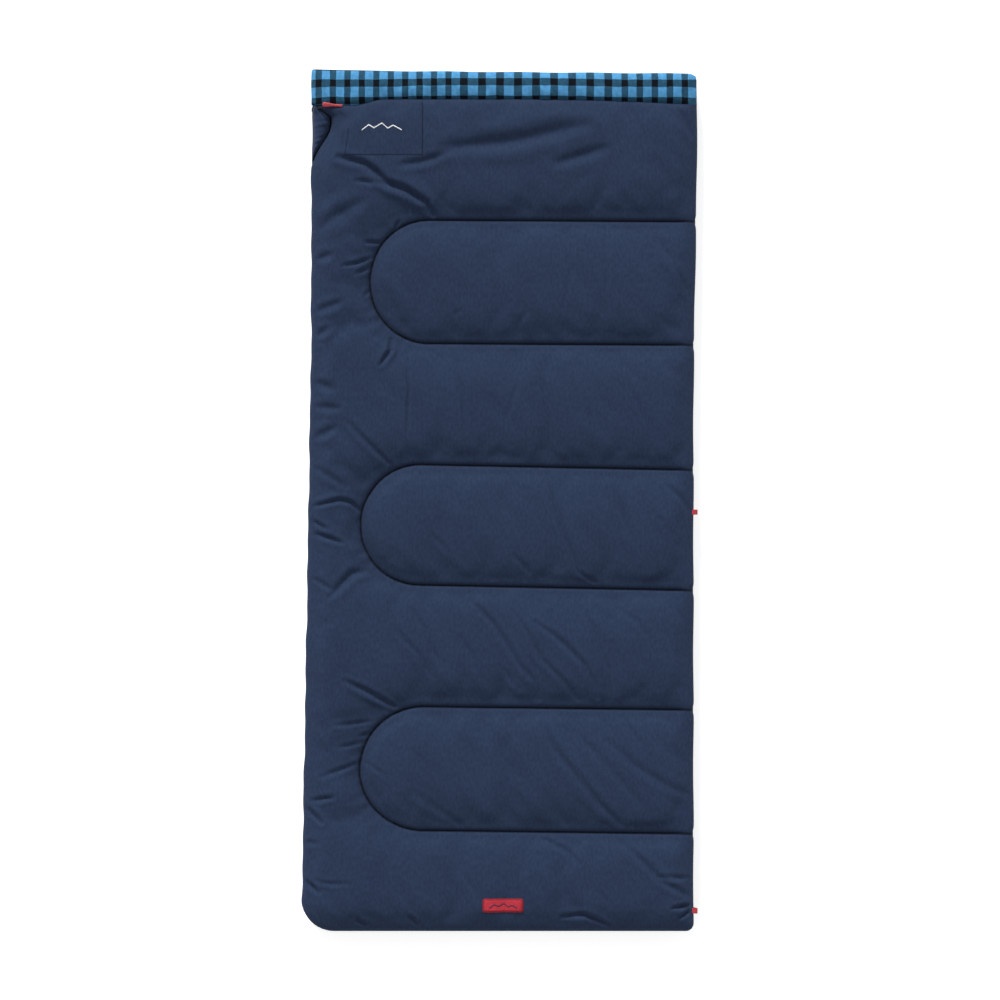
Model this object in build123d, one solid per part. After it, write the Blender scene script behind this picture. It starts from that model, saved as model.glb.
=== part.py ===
from build123d import *
import os

os.makedirs("parts", exist_ok=True)

# Rectangular sleeping bag lying flat and zipped up, in millimetres.
# The head is at +Y, the closed fold is at +X and the zip runs down -X and along the foot at -Y.
# The origin is on the floor, under the middle of the bag.

# ---------------------------------------------------------------- driving dimensions
LENGTH = 1990.0
FOLD_X = 453.0                 # edge of the quilted leaves on the fold side
ZIP_EDGE_HEAD_X = -438.0       # zip-side edge at the head
ZIP_EDGE_FOOT_X = -456.0       # zip-side edge at the foot
THICKNESS = 70.0               # both leaves and the sleeping space
LEAF = 26.0                    # one quilted leaf
MIDDLE = THICKNESS / 2
CLOTH = 1.5                    # modelled thickness of shell, lining and cuff
HINGE_X = 456.5                # line the front leaf turns about
FOLD_GAP = 0.4                 # each leaf's web stops this far from the middle plane

HEAD_Y = LENGTH / 2
FOOT_Y = -LENGTH / 2
CUFF_DEPTH = 83.0
CUFF_Y = HEAD_Y - CUFF_DEPTH
FOOT_ZIP_CORNER = 69.0
FOOT_FOLD_CORNER = 20.0
HEAD_CORNER = 18.0

# the front leaf is set back beside the head slider, where the back leaf's edge shows
BAY_X = -400.0
BAY_STRAIGHT_Y = 868.0
BAY_END_Y = 770.0

# zip: two tapes standing in one upright plane, with a coil on each
CHAIN_X = -430.0
CHAIN_Y = FOOT_Y + 20.0
CHAIN_CORNER = 45.0
TAPE_HEAD_Y = 930.0
TAPE_END_X = 402.0
TAPE = 0.9
COIL = 2.6
COIL_HEIGHT = 2.2
COIL_GAP = 1.6
SLIDER_LENGTH = 26.0
SLIDER_HEIGHT = 13.0
SLIDER_PLATE = 1.6
SLIDER_CAVITY = 4.8
SLIDER_SLIT = 1.8
SLIDER_POST = 1.0
HEAD_SLIDER_Y = 905.0
FOOT_SLIDER_X = 365.0
SLIDER_CLEARANCE = 1.5
SLIDER_CORNER = 3.0
POST_FROM_END = (6.0, 2.0)     # the slider's divider, measured back from its nose
BRIDGE_HALF = 5.0              # eye on the slider's face that a puller hangs from
BRIDGE_HIGH = 3.0
BRIDGE_WALL = 1.6
BRIDGE_ROOF = 1.3
BRIDGE_HALF_WIDTH = 2.0
TOP_STOP = 4.0

# pullers
GRIP_LENGTH = 48.0
GRIP_WIDE = 11.0
GRIP_NARROW = 6.0
GRIP_THICK = 5.0
GRIP_START_X = -410.0
TAB_THICK = 2.4
TAB_LENGTH = 30.0
TAB_WIDTH = 9.0
TAB_PLATE = 1.2
TAB_HOLE = 2.0
TAB_HOLE_FROM_END = 6.0
TAB_CLEAR = 3.4                # foot tab stands this far off the slider's plate
WEB_HALF_WIDTH = 3.0
WEB_CLEAR = 1.6                # head tab starts this far above the slider
GRIP_TILT = -4.0
GRIP_OFFSET_Y = 3.5
GRIP_GAP = 0.3
GRIP_ROUND = 1.5

# quilting: three long loops, open towards the fold
LOOP_RADIUS = 142.0
LOOP_CENTRES_Y = (505.0, -59.0, -621.0)
LOOP_LEFT_X = (-306.0, -324.0, -320.0)
THREAD = 1.0
THREAD_PROUD = 0.5

# draft tube behind the zip
TUBE_WIDTH = 30.0
TUBE_HEIGHT = 13.0
TUBE_X = -404.0

# pocket inside the front leaf
POCKET_X = (-366.0, -179.0)
POCKET_Y = (792.0, CUFF_Y - 4.0)
POCKET_CLOTH = 1.0
HEM_DEPTH = 14.0
HEM_EXTRA = 0.6

# retainer at the foot end of the zip
BOX_LENGTH = 10.0
BOX_STOP = 2.0
BOX_HALF = 2.2
BOX_INSET = 1.0
PIN_HALF = 1.4
PIN_HEIGHT = 4.0

# labels, decorative print, webbing and care label
LABEL_X = 7.0
LABEL_Y = -934.0
LABEL_BASE = (94.0, 32.0, 5.0)     # width, height, corner
LABEL_FIELD = (86.0, 24.0, 3.0)
LABEL_LEVELS = (0.0, 0.8, 1.3, 1.6)
LABEL_RIDGE = ((-32, -4), (-20, 4), (-11, -1), (2, 6), (12, -2), (20, 2), (32, -4))   # line of hills
LABEL_RIDGE_THICK = 2.4
MARK_X = -272.0
MARK_Y = 860.0
MARK_HEIGHT = 0.4
MARK_RIDGE = ((-46, -7), (-30, 5), (-18, -2), (0, 9), (14, -3), (26, 4), (46, -7))
MARK_RIDGE_THICK = 2.6
WEBBING_HALF = 6.0
WEBBING_REACH = 2.4
WEBBING_Y = {"hanging_tab_middle": -28.0, "hanging_tab_foot": -949.0}
WEBBING_LEVELS = (3.0, 7.0)        # above the front leaf's inner face
CARE_X = 380.0
CARE_SIZE = (32.0, 48.0, 0.6)
CARE_BELOW_CUFF = 12.0


def save(shape, node):
    """Write one node, whichever way its solids were put together."""
    shape.label = node
    export_step(shape, f"parts/{node}.step")


def slab(sketch, low, high):
    """Upright solid on a flat outline, between two heights."""
    return extrude(Pos(0, 0, low) * sketch, amount=high - low)


def block(x, y, z):
    """Box between two corners, given as a pair of limits for each axis."""
    size = [high - low for low, high in (x, y, z)]
    centre = [(high + low) / 2 for low, high in (x, y, z)]
    return Pos(*centre) * Box(*size)


def edge_x(y):
    """Zip-side edge of the bag, which widens a little towards the foot."""
    along = (HEAD_Y - y) / LENGTH
    return ZIP_EDGE_HEAD_X + along * (ZIP_EDGE_FOOT_X - ZIP_EDGE_HEAD_X)


def leaf_outline(with_bay):
    """Flat outline of one leaf: a rectangle with a large corner where the zip turns."""
    foot_left = FOOT_Y + FOOT_ZIP_CORNER
    with BuildSketch() as outline:
        with BuildLine():
            start = (edge_x(foot_left), foot_left)
            corner_end = (ZIP_EDGE_FOOT_X + FOOT_ZIP_CORNER, FOOT_Y)
            RadiusArc(start, corner_end, -FOOT_ZIP_CORNER * 1.01)
            fold_foot = (FOLD_X - FOOT_FOLD_CORNER, FOOT_Y)
            Line(corner_end, fold_foot)
            fold_foot_up = (FOLD_X, FOOT_Y + FOOT_FOLD_CORNER)
            RadiusArc(fold_foot, fold_foot_up, -FOOT_FOLD_CORNER)
            fold_head = (FOLD_X, HEAD_Y - HEAD_CORNER)
            Line(fold_foot_up, fold_head)
            head_right = (FOLD_X - HEAD_CORNER, HEAD_Y)
            RadiusArc(fold_head, head_right, -HEAD_CORNER)
            head_left = (edge_x(HEAD_Y), HEAD_Y)
            Line(head_right, head_left)
            if with_bay:
                bay_end = (edge_x(BAY_END_Y), BAY_END_Y)
                Polyline(head_left, (edge_x(CUFF_Y), CUFF_Y), (BAY_X, CUFF_Y), (BAY_X, BAY_STRAIGHT_Y))
                TangentArc((BAY_X, BAY_STRAIGHT_Y), bay_end, tangent=(0, -1))
                Line(bay_end, start)
            else:
                Line(head_left, start)
        make_face()
    return outline.sketch


def leaf_parts(with_bay, outer, inner):
    """Shell, cuff, lining and fill of a leaf whose outer face is at z outer and lining at z inner."""
    outline = leaf_outline(with_bay)
    core = offset(outline, amount=-CLOTH, kind=Kind.INTERSECTION)
    up = 1 if outer > inner else -1
    low, high = sorted((outer, inner))
    whole = slab(outline, low, high)
    inside = sorted((outer - up * CLOTH, inner))
    cover = whole - slab(core, *inside)
    lining_face = inner + up * CLOTH
    lining = slab(core, *sorted((inner, lining_face)))
    fill = slab(core, *sorted((lining_face, outer - up * CLOTH)))
    web_edge = MIDDLE + up * FOLD_GAP
    web = block((FOLD_X - CLOTH, FOLD_X), (FOOT_Y + FOOT_FOLD_CORNER, CUFF_Y), sorted((web_edge, inner)))
    head_half = block((-HINGE_X, HINGE_X), (CUFF_Y, HEAD_Y), (low, high))
    cuff = cover & head_half
    shell = cover - head_half
    return {"shell": shell, "cuff": cuff, "lining": lining, "fill": fill, "fold_web": web}


def zip_line(end_x, head_y):
    """Line of the zip: down the side, round the corner and along the foot."""
    with BuildLine() as line:
        Line((CHAIN_X, head_y), (CHAIN_X, CHAIN_Y + CHAIN_CORNER))
        RadiusArc((CHAIN_X, CHAIN_Y + CHAIN_CORNER), (CHAIN_X + CHAIN_CORNER, CHAIN_Y), -CHAIN_CORNER)
        Line((CHAIN_X + CHAIN_CORNER, CHAIN_Y), (end_x, CHAIN_Y))
    return line.line


def zip_band(end_x, head_y, width, low, high):
    """Strip of the given width standing on the line of the zip."""
    with BuildSketch() as band:
        trace(zip_line(end_x, head_y).edges(), line_width=width)
    return slab(band.sketch, low, high)


def zip_side(up, inner):
    """Tape, coil and head stop of one side of the zip; up is 1 for the front leaf."""
    near = MIDDLE + up * COIL_GAP / 2
    far = near + up * COIL_HEIGHT
    coil_head = HEAD_SLIDER_Y - SLIDER_LENGTH / 2 - SLIDER_CLEARANCE
    coil_end = FOOT_SLIDER_X - SLIDER_LENGTH / 2 - SLIDER_CLEARANCE
    coil = zip_band(coil_end, coil_head, COIL, *sorted((near, far)))
    tape = zip_band(TAPE_END_X, TAPE_HEAD_Y, TAPE, *sorted((near, inner))) - coil
    stop_y = HEAD_SLIDER_Y + SLIDER_LENGTH / 2 + SLIDER_CLEARANCE
    stop = block((CHAIN_X - COIL / 2, CHAIN_X + COIL / 2), (stop_y, stop_y + TOP_STOP), sorted((near, far)))
    return {"zip_tape": tape - stop, "zip_coil": coil, "zip_top_stop": stop}


def slider():
    """Zip slider lying along X with its outer face towards -Y, centred on the middle plane."""
    half = SLIDER_HEIGHT / 2
    cavity = SLIDER_CAVITY / 2
    deep = cavity + SLIDER_PLATE
    reach = SLIDER_LENGTH / 2
    body = block((-reach, reach), (-deep, deep), (-half, half))
    body = fillet(body.edges().filter_by(Axis.Y), SLIDER_CORNER)
    body -= block((-reach, reach), (-cavity, cavity), (-half + SLIDER_PLATE, half - SLIDER_PLATE))
    body -= block((-reach, reach), (-SLIDER_SLIT / 2, SLIDER_SLIT / 2), (-half, half))
    post_x = [reach - back for back in POST_FROM_END]
    body += block(post_x, (-cavity, cavity), (-SLIDER_POST / 2, SLIDER_POST / 2))
    eye_half = BRIDGE_HALF - BRIDGE_WALL
    across = (-BRIDGE_HALF_WIDTH, BRIDGE_HALF_WIDTH)
    bridge = block((-BRIDGE_HALF, BRIDGE_HALF), (-deep - BRIDGE_HIGH, -deep), across)
    bridge -= block((-eye_half, eye_half), (-deep - BRIDGE_HIGH + BRIDGE_ROOF, -deep), across)
    return body + bridge


def grip():
    """Moulded puller: a thick round end towards -X that tapers to a thin tip."""
    big = GRIP_WIDE / 2
    small = GRIP_NARROW / 2
    with BuildSketch() as plan:
        with Locations((big, 0)):
            Circle(big)
        with Locations((GRIP_LENGTH - small, 0)):
            Circle(small)
        make_hull()
    body = slab(plan.sketch, 0, GRIP_THICK)
    return fillet(body.edges().group_by(Axis.Z)[-1], GRIP_ROUND)


def quilt_loop(centre_y, left_x, end_x, low):
    """One stitched loop: a half circle towards the zip and two runs to the fold."""
    turn_x = left_x + LOOP_RADIUS
    top = centre_y + LOOP_RADIUS
    bottom = centre_y - LOOP_RADIUS
    with BuildLine() as line:
        Line((end_x, top), (turn_x, top))
        ThreePointArc((turn_x, top), (left_x, centre_y), (turn_x, bottom))
        Line((turn_x, bottom), (end_x, bottom))
    with BuildSketch() as stitch:
        trace(line.line.edges(), line_width=THREAD)
    return slab(stitch.sketch, low, low + THREAD_PROUD)


def outline_band(x, y, width, low, high):
    """Thin rectangular frame of stitching."""
    outside = block(x, y, (low, high))
    inset_x = (x[0] + width, x[1] - width)
    inset_y = (y[0] + width, y[1] - width)
    return outside - block(inset_x, inset_y, (low, high))


def rounded_plate(width, height, corner, low, high):
    """Flat plate with rounded corners, centred on its own origin."""
    return slab(RectangleRounded(width, height, corner), low, high)


def ridge(points, thick):
    """Zigzag line of hills, of the same thickness everywhere, measured upright."""
    under = [(x, y - thick) for x, y in reversed(points)]
    with BuildSketch() as line:
        with BuildLine():
            Polyline(*points, *under, close=True)
        make_face()
    return line.sketch


# ---------------------------------------------------------------- the two leaves
INNER_FRONT = THICKNESS - LEAF
INNER_BACK = LEAF
for side, bay, outer, inner in (("front", True, THICKNESS, INNER_FRONT), ("back", False, 0.0, INNER_BACK)):
    for name, shape in leaf_parts(bay, outer, inner).items():
        save(shape, f"{side}_{name}")

# ---------------------------------------------------------------- zip
for side, up, inner in (("front", 1, INNER_FRONT), ("back", -1, INNER_BACK)):
    for name, shape in zip_side(up, inner).items():
        save(shape, f"{side}_{name}")

box_low = MIDDLE - SLIDER_HEIGHT / 2 + BOX_INSET
box_x = (TAPE_END_X - BOX_LENGTH, TAPE_END_X + BOX_STOP)
slot_x = (TAPE_END_X - BOX_LENGTH, TAPE_END_X)
box_y = (CHAIN_Y - BOX_HALF, CHAIN_Y + BOX_HALF)
back_tape_top = MIDDLE - COIL_GAP / 2
tape_slot = block(slot_x, (CHAIN_Y - TAPE / 2, CHAIN_Y + TAPE / 2), (box_low, back_tape_top))
save(block(box_x, box_y, (box_low, back_tape_top)) - tape_slot, "zip_retainer_box")
pin_low = MIDDLE + COIL_GAP / 2
pin_z = (pin_low, pin_low + PIN_HEIGHT)
pin = block(box_x, (CHAIN_Y - PIN_HALF, CHAIN_Y + PIN_HALF), pin_z)
pin_slot = block(slot_x, (CHAIN_Y - TAPE / 2, CHAIN_Y + TAPE / 2), pin_z)
save(pin - pin_slot, "zip_insertion_pin")

head_slider = Pos(CHAIN_X, HEAD_SLIDER_Y, MIDDLE) * Rot(0, 0, -90) * slider()
foot_slider = Pos(FOOT_SLIDER_X, CHAIN_Y, MIDDLE) * slider()
save(head_slider, "head_slider_body")
save(foot_slider, "foot_slider_body")

# a short webbing tab leads from the head slider to its moulded grip
plate_out = SLIDER_CAVITY / 2 + SLIDER_PLATE
tab_low = MIDDLE + SLIDER_HEIGHT / 2 + WEB_CLEAR
tab_high = THICKNESS + 0.6
tab_foot_x = CHAIN_X - plate_out
tab_bend = INNER_FRONT + 3.0
with BuildSketch(Plane.XZ) as tab_side:
    with BuildLine():
        Polyline(
            (tab_foot_x, tab_low),
            (tab_foot_x + TAB_THICK, tab_low),
            (tab_foot_x + TAB_THICK, tab_bend),
            (GRIP_START_X, tab_high),
            (GRIP_START_X, tab_high + TAB_THICK),
            (tab_foot_x, tab_bend + TAB_THICK),
            close=True,
        )
    make_face()
head_tab = Pos(0, HEAD_SLIDER_Y, 0) * extrude(tab_side.sketch, amount=WEB_HALF_WIDTH, both=True)
save(head_tab, "head_puller_tab")
grip_place = Pos(GRIP_START_X + GRIP_GAP, HEAD_SLIDER_Y + GRIP_OFFSET_Y, tab_high) * Rot(0, 0, GRIP_TILT)
save(grip_place * grip(), "head_puller_grip")

tab_out = plate_out + TAB_CLEAR
foot_tab_outline = Pos(TAB_LENGTH / 2, 0) * SlotOverall(TAB_LENGTH, TAB_WIDTH)
foot_tab_outline -= Pos(TAB_LENGTH - TAB_HOLE_FROM_END, 0) * Circle(TAB_HOLE)
foot_tab = extrude(Plane.XZ * foot_tab_outline, amount=TAB_PLATE)
save(Pos(FOOT_SLIDER_X, CHAIN_Y - tab_out, MIDDLE) * foot_tab, "foot_pull_tab")

# ---------------------------------------------------------------- quilting
for side, low in (("front", THICKNESS), ("back", INNER_BACK)):
    loops = [
        quilt_loop(centre, left, FOLD_X - 6.0, low)
        for centre, left in zip(LOOP_CENTRES_Y, LOOP_LEFT_X)
    ]
    save(Compound(children=loops), f"{side}_quilting")

# ---------------------------------------------------------------- draft tube
tube_y = (FOOT_Y + 45.0, BAY_END_Y - 5.0)
tube_wall = 1.0
tube_length = tube_y[1] - tube_y[0]
tube_plane = Plane((TUBE_X, tube_y[1], INNER_FRONT - TUBE_HEIGHT / 2), x_dir=(1, 0, 0), z_dir=(0, -1, 0))
tube_outline = RectangleRounded(TUBE_WIDTH, TUBE_HEIGHT, 5.0)
tube_core = RectangleRounded(TUBE_WIDTH - 2 * tube_wall, TUBE_HEIGHT - 2 * tube_wall, 4.0)
tube_body = extrude(tube_plane * tube_outline, amount=tube_length)
tube_fill_plane = tube_plane.offset(tube_wall)
tube_fill = extrude(tube_fill_plane * tube_core, amount=tube_length - 2 * tube_wall)
save(tube_body - tube_fill, "draft_tube_shell")
save(tube_fill, "draft_tube_fill")

# ---------------------------------------------------------------- pocket
pocket_z = (INNER_FRONT - POCKET_CLOTH, INNER_FRONT)
hem_y = (POCKET_Y[1] - HEM_DEPTH, POCKET_Y[1])
save(block(POCKET_X, (POCKET_Y[0], hem_y[0]), pocket_z), "pocket_panel")
save(block(POCKET_X, hem_y, (pocket_z[0] - HEM_EXTRA, pocket_z[1])), "pocket_hem")
pocket_stitch = outline_band(POCKET_X, POCKET_Y, THREAD, THICKNESS, THICKNESS + THREAD_PROUD)
save(pocket_stitch, "pocket_stitching")

# ---------------------------------------------------------------- labels and trim
label_place = Pos(LABEL_X, LABEL_Y, THICKNESS)
base_low, field_low, emblem_low, emblem_high = LABEL_LEVELS
save(label_place * rounded_plate(*LABEL_BASE, base_low, field_low), "foot_label_base")
save(label_place * rounded_plate(*LABEL_FIELD, field_low, emblem_low), "foot_label_field")
save(label_place * slab(ridge(LABEL_RIDGE, LABEL_RIDGE_THICK), emblem_low, emblem_high), "foot_label_emblem")
mark = slab(ridge(MARK_RIDGE, MARK_RIDGE_THICK), THICKNESS, THICKNESS + MARK_HEIGHT)
save(Pos(MARK_X, MARK_Y, 0) * mark, "printed_mark")

webbing_x = (FOLD_X, FOLD_X + WEBBING_REACH)
webbing_z = [INNER_FRONT + level for level in WEBBING_LEVELS]
for node, y in WEBBING_Y.items():
    save(block(webbing_x, (y - WEBBING_HALF, y + WEBBING_HALF), webbing_z), node)

care_wide, care_tall, care_thick = CARE_SIZE
care_top = CUFF_Y - CARE_BELOW_CUFF
care_z = (INNER_BACK, INNER_BACK + care_thick)
save(block((CARE_X, CARE_X + care_wide), (care_top - care_tall, care_top), care_z), "care_label")
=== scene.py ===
"""Looks of the rectangular sleeping bag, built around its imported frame. Metres, +Z up, head at +Y."""

import math

import bmesh
import bpy
import numpy as np
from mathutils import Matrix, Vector
from mathutils.bvhtree import BVHTree


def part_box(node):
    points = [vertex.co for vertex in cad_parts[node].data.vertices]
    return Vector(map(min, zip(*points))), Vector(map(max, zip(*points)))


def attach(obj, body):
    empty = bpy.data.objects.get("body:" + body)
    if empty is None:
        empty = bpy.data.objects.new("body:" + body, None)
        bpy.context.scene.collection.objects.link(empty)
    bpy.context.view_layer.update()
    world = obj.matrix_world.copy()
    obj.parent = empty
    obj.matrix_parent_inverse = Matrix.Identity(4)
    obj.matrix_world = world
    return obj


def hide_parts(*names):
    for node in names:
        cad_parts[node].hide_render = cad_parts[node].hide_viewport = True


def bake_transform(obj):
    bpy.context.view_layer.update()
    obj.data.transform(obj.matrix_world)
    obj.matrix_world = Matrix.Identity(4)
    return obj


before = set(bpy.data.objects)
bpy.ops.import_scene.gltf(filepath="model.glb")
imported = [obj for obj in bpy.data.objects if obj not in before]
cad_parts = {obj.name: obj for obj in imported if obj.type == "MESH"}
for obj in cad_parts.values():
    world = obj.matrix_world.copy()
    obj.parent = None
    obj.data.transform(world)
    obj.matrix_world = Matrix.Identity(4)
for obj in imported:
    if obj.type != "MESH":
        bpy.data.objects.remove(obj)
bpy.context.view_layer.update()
MM = 0.001

# ---------------------------------------------------------------- sizes taken from the frame
SHELL_LOW, SHELL_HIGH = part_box("front_shell")
CUFF_LOW, CUFF_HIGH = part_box("front_cuff")
TAPE_LOW, TAPE_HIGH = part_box("front_zip_tape")
FOLD_X = SHELL_HIGH.x
FOOT_Y = SHELL_LOW.y
HEAD_Y = CUFF_HIGH.y
SEAM_Y = CUFF_LOW.y
TOP = SHELL_HIGH.z
MIDDLE = TOP / 2
LEAF_UNDER = SHELL_LOW.z
CHAIN_X = TAPE_LOW.x + 0.45 * MM
CHAIN_Y = TAPE_LOW.y + 0.45 * MM
LEFT = -0.445          # zip-side edge of the reference rectangle that the cloth is drawn on
RIGHT = FOLD_X
ZIP_INSET = 0.020      # from the silhouette in to the line where a leaf's cloth meets the zip
FOLD_INSET = 0.002
TAPE_SEAM = 0.006      # how far the zip tape runs on into the leaf's seam
ZIP_CORNER = 0.075
LABEL_RIDGE = ((-32, -4), (-20, 4), (-11, -1), (2, 6), (12, -2), (20, 2), (32, -4))      # mm
PRINT_RIDGE = ((-46, -7), (-30, 5), (-18, -2), (0, 9), (14, -3), (26, 4), (46, -7))
SMALL_CORNER = 0.018
POCKET_LOW, POCKET_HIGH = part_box("pocket_stitching")
POCKET_FOOT = POCKET_LOW.y + 0.003
POCKET_TOP = 0.905     # head end of the pocket's line of stitches on the fold side
POCKET_SHORT = 0.855   # and on the zip side

# quilting: half circles towards the zip, runs towards the fold; (left, centre y, radius, tilt)
QUILT_LOOPS = (
    (-0.306, 0.504, 0.1425, 0.006),
    (-0.324, -0.057, 0.1390, 0.020),
    (-0.320, -0.620, 0.1430, 0.012),
)


# ---------------------------------------------------------------- small helpers
def smooth(value, low, high):
    """0 below low, 1 above high and an easy curve between them."""
    t = np.clip((value - low) / (high - low), 0.0, 1.0)
    return t * t * (3.0 - 2.0 * t)


def graded(*spans):
    """Coordinates with a step of their own in each span of (start, end, step)."""
    parts = []
    for start, end, step in spans:
        count = max(1, int(round(abs(end - start) / step)))
        parts.append(np.linspace(start, end, count, endpoint=False))
    return np.append(np.concatenate(parts), spans[-1][1])


def ripple(x, y, length, seed, stretch=1.0, angle=0.0, waves=22):
    """Soft random relief between about -1 and 1, with waves near the given length.
    stretch draws it out along the direction at angle."""
    rng = np.random.default_rng(seed)
    c, s = math.cos(angle), math.sin(angle)
    along = (x * c + y * s) / stretch
    across = y * c - x * s
    total = np.zeros_like(x)
    for _ in range(waves):
        turn = rng.uniform(0, 2 * math.pi)
        pitch = 2 * math.pi / (length * rng.uniform(0.7, 1.5))
        total += np.sin(pitch * (along * math.cos(turn) + across * math.sin(turn)) + rng.uniform(0, 6.3))
    return total / math.sqrt(waves) * 0.9


def bezier(p0, p1, p2, p3, count=60):
    """Points of a cubic curve in the plane, with the distance run so far."""
    t = np.linspace(0, 1, count)[:, None]
    p0, p1, p2, p3 = (np.array(p) for p in (p0, p1, p2, p3))
    line = (1 - t) ** 3 * p0 + 3 * (1 - t) ** 2 * t * p1 + 3 * (1 - t) * t**2 * p2 + t**3 * p3
    run = np.concatenate([[0], np.cumsum(np.linalg.norm(np.diff(line, axis=0), axis=1))])
    return run, line[:, 0], line[:, 1]


def add_piece(name, points, faces, material, uv=None, body=None):
    """Mesh object with smooth faces; uv has one pair for each point."""
    mesh = bpy.data.meshes.new(name)
    mesh.from_pydata(np.asarray(points).reshape(-1, 3).tolist(), [], np.asarray(faces).tolist())
    mesh.polygons.foreach_set("use_smooth", [True] * len(mesh.polygons))
    if uv is not None:
        layer = mesh.uv_layers.new(name="cloth")
        loops = np.empty(len(mesh.loops), np.int32)
        mesh.loops.foreach_get("vertex_index", loops)
        layer.data.foreach_set("uv", np.asarray(uv).reshape(-1, 2)[loops].ravel())
    mesh.materials.append(material)
    piece = bpy.data.objects.new(name, mesh)
    bpy.context.scene.collection.objects.link(piece)
    if body:
        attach(piece, body)
    return piece


def thicken(piece, thickness, offset=-1.0):
    """Gives a sheet its thickness; offset -1 keeps the modelled face on top and 0 puts it in the middle."""
    solid = piece.modifiers.new("thickness", "SOLIDIFY")
    solid.thickness = thickness
    solid.offset = offset


def run_along(line):
    """Distance run so far at each point of a line in the plane."""
    return np.concatenate([[0], np.cumsum(np.hypot(*np.diff(line, axis=0).T))])


def grid_faces(rows, columns, flip=False):
    """Quads of a grid of rows x columns points."""
    index = np.arange(rows * columns).reshape(rows, columns)
    quads = np.stack([index[:-1, :-1], index[:-1, 1:], index[1:, 1:], index[1:, :-1]], axis=-1).reshape(-1, 4)
    return quads[:, ::-1] if flip else quads


def drop_flat(points, quads, smallest=1e-8):
    """Leaves out quads that have shrunk to a line."""
    p = points.reshape(-1, 3)[quads]
    area = np.linalg.norm(np.cross(p[:, 2] - p[:, 0], p[:, 3] - p[:, 1]), axis=1)
    return quads[area > smallest]


# ---------------------------------------------------------------- materials
def new_material(name, roughness=0.9):
    material = bpy.data.materials.new(name)
    material.use_nodes = True
    shader = material.node_tree.nodes["Principled BSDF"]
    shader.inputs["Roughness"].default_value = roughness
    shader.inputs["Specular IOR Level"].default_value = 0.25
    return material, material.node_tree, shader


def node(tree, kind, inputs=None, **settings):
    made = tree.nodes.new(kind)
    for key, value in settings.items():
        setattr(made, key, value)
    for key, value in (inputs or {}).items():
        if isinstance(value, bpy.types.NodeSocket):
            tree.links.new(value, made.inputs[key])
        else:
            made.inputs[key].default_value = value
    return made


def calc(tree, operation, first, second=0.0):
    return node(tree, "ShaderNodeMath", {0: first, 1: second}, operation=operation).outputs[0]


def mix_colour(tree, factor, first, second, blend="MIX"):
    made = node(tree, "ShaderNodeMix", data_type="RGBA", blend_type=blend)
    for socket, value in ((made.inputs["Factor"], factor), (made.inputs[6], first), (made.inputs[7], second)):
        if isinstance(value, bpy.types.NodeSocket):
            tree.links.new(value, socket)
        else:
            socket.default_value = value
    return made.outputs[2]


def noise(tree, vector, scale, detail=3.0, stretch=(1, 1, 1)):
    placed = node(tree, "ShaderNodeMapping", {"Vector": vector, "Scale": stretch})
    made = node(tree, "ShaderNodeTexNoise", {"Vector": placed.outputs[0], "Scale": scale, "Detail": detail})
    return made.outputs["Fac"]


def spread(tree, value, low, high, to_low=0.0, to_high=1.0):
    made = node(tree, "ShaderNodeMapRange", {0: value, 1: low, 2: high, 3: to_low, 4: to_high})
    return made.outputs[0]


def bump(tree, shader, height, distance, strength=1.0, under=None):
    inputs = {"Height": height, "Distance": distance, "Strength": strength}
    if under is not None:
        inputs["Normal"] = under
    made = node(tree, "ShaderNodeBump", inputs)
    tree.links.new(made.outputs[0], shader.inputs["Normal"])
    return made.outputs[0]


def weave_height(tree, vector, pitch):
    """Plain weave: crests that cross over and under each other."""
    parts = node(tree, "ShaderNodeSeparateXYZ", {0: vector}).outputs
    turn = 2 * math.pi / pitch
    warp = calc(tree, "SINE", calc(tree, "MULTIPLY", parts[0], turn))
    weft = calc(tree, "SINE", calc(tree, "MULTIPLY", parts[1], turn))
    return calc(tree, "MULTIPLY", warp, weft)


def seam_gap(tree, place):
    """Distance to the nearest quilted loop, from the cloth's flat coordinates."""
    parts = node(tree, "ShaderNodeSeparateXYZ", {0: place}).outputs
    nearest = None
    for left, centre_y, radius, tilt in QUILT_LOOPS:
        u = calc(tree, "SUBTRACT", parts[0], left + radius)
        v = calc(tree, "SUBTRACT", parts[1], centre_y)
        v = calc(tree, "ADD", v, calc(tree, "MULTIPLY", calc(tree, "MAXIMUM", u, 0.0), tilt))
        u = calc(tree, "MINIMUM", u, 0.0)
        square = calc(tree, "ADD", calc(tree, "MULTIPLY", u, u), calc(tree, "MULTIPLY", v, v))
        gap = calc(tree, "ABSOLUTE", calc(tree, "SUBTRACT", calc(tree, "SQRT", square), radius))
        nearest = gap if nearest is None else calc(tree, "MINIMUM", nearest, gap)
    return nearest


def line_gap(tree, parts, axis, level, start, end):
    """Distance to a straight line of stitching that runs along one axis at a level of the other."""
    before = calc(tree, "SUBTRACT", start, parts[axis])
    after = calc(tree, "SUBTRACT", parts[axis], end)
    past = calc(tree, "MAXIMUM", calc(tree, "MAXIMUM", before, after), 0.0)
    beside = calc(tree, "ABSOLUTE", calc(tree, "SUBTRACT", parts[1 - axis], level))
    return calc(tree, "ADD", past, beside)


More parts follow.
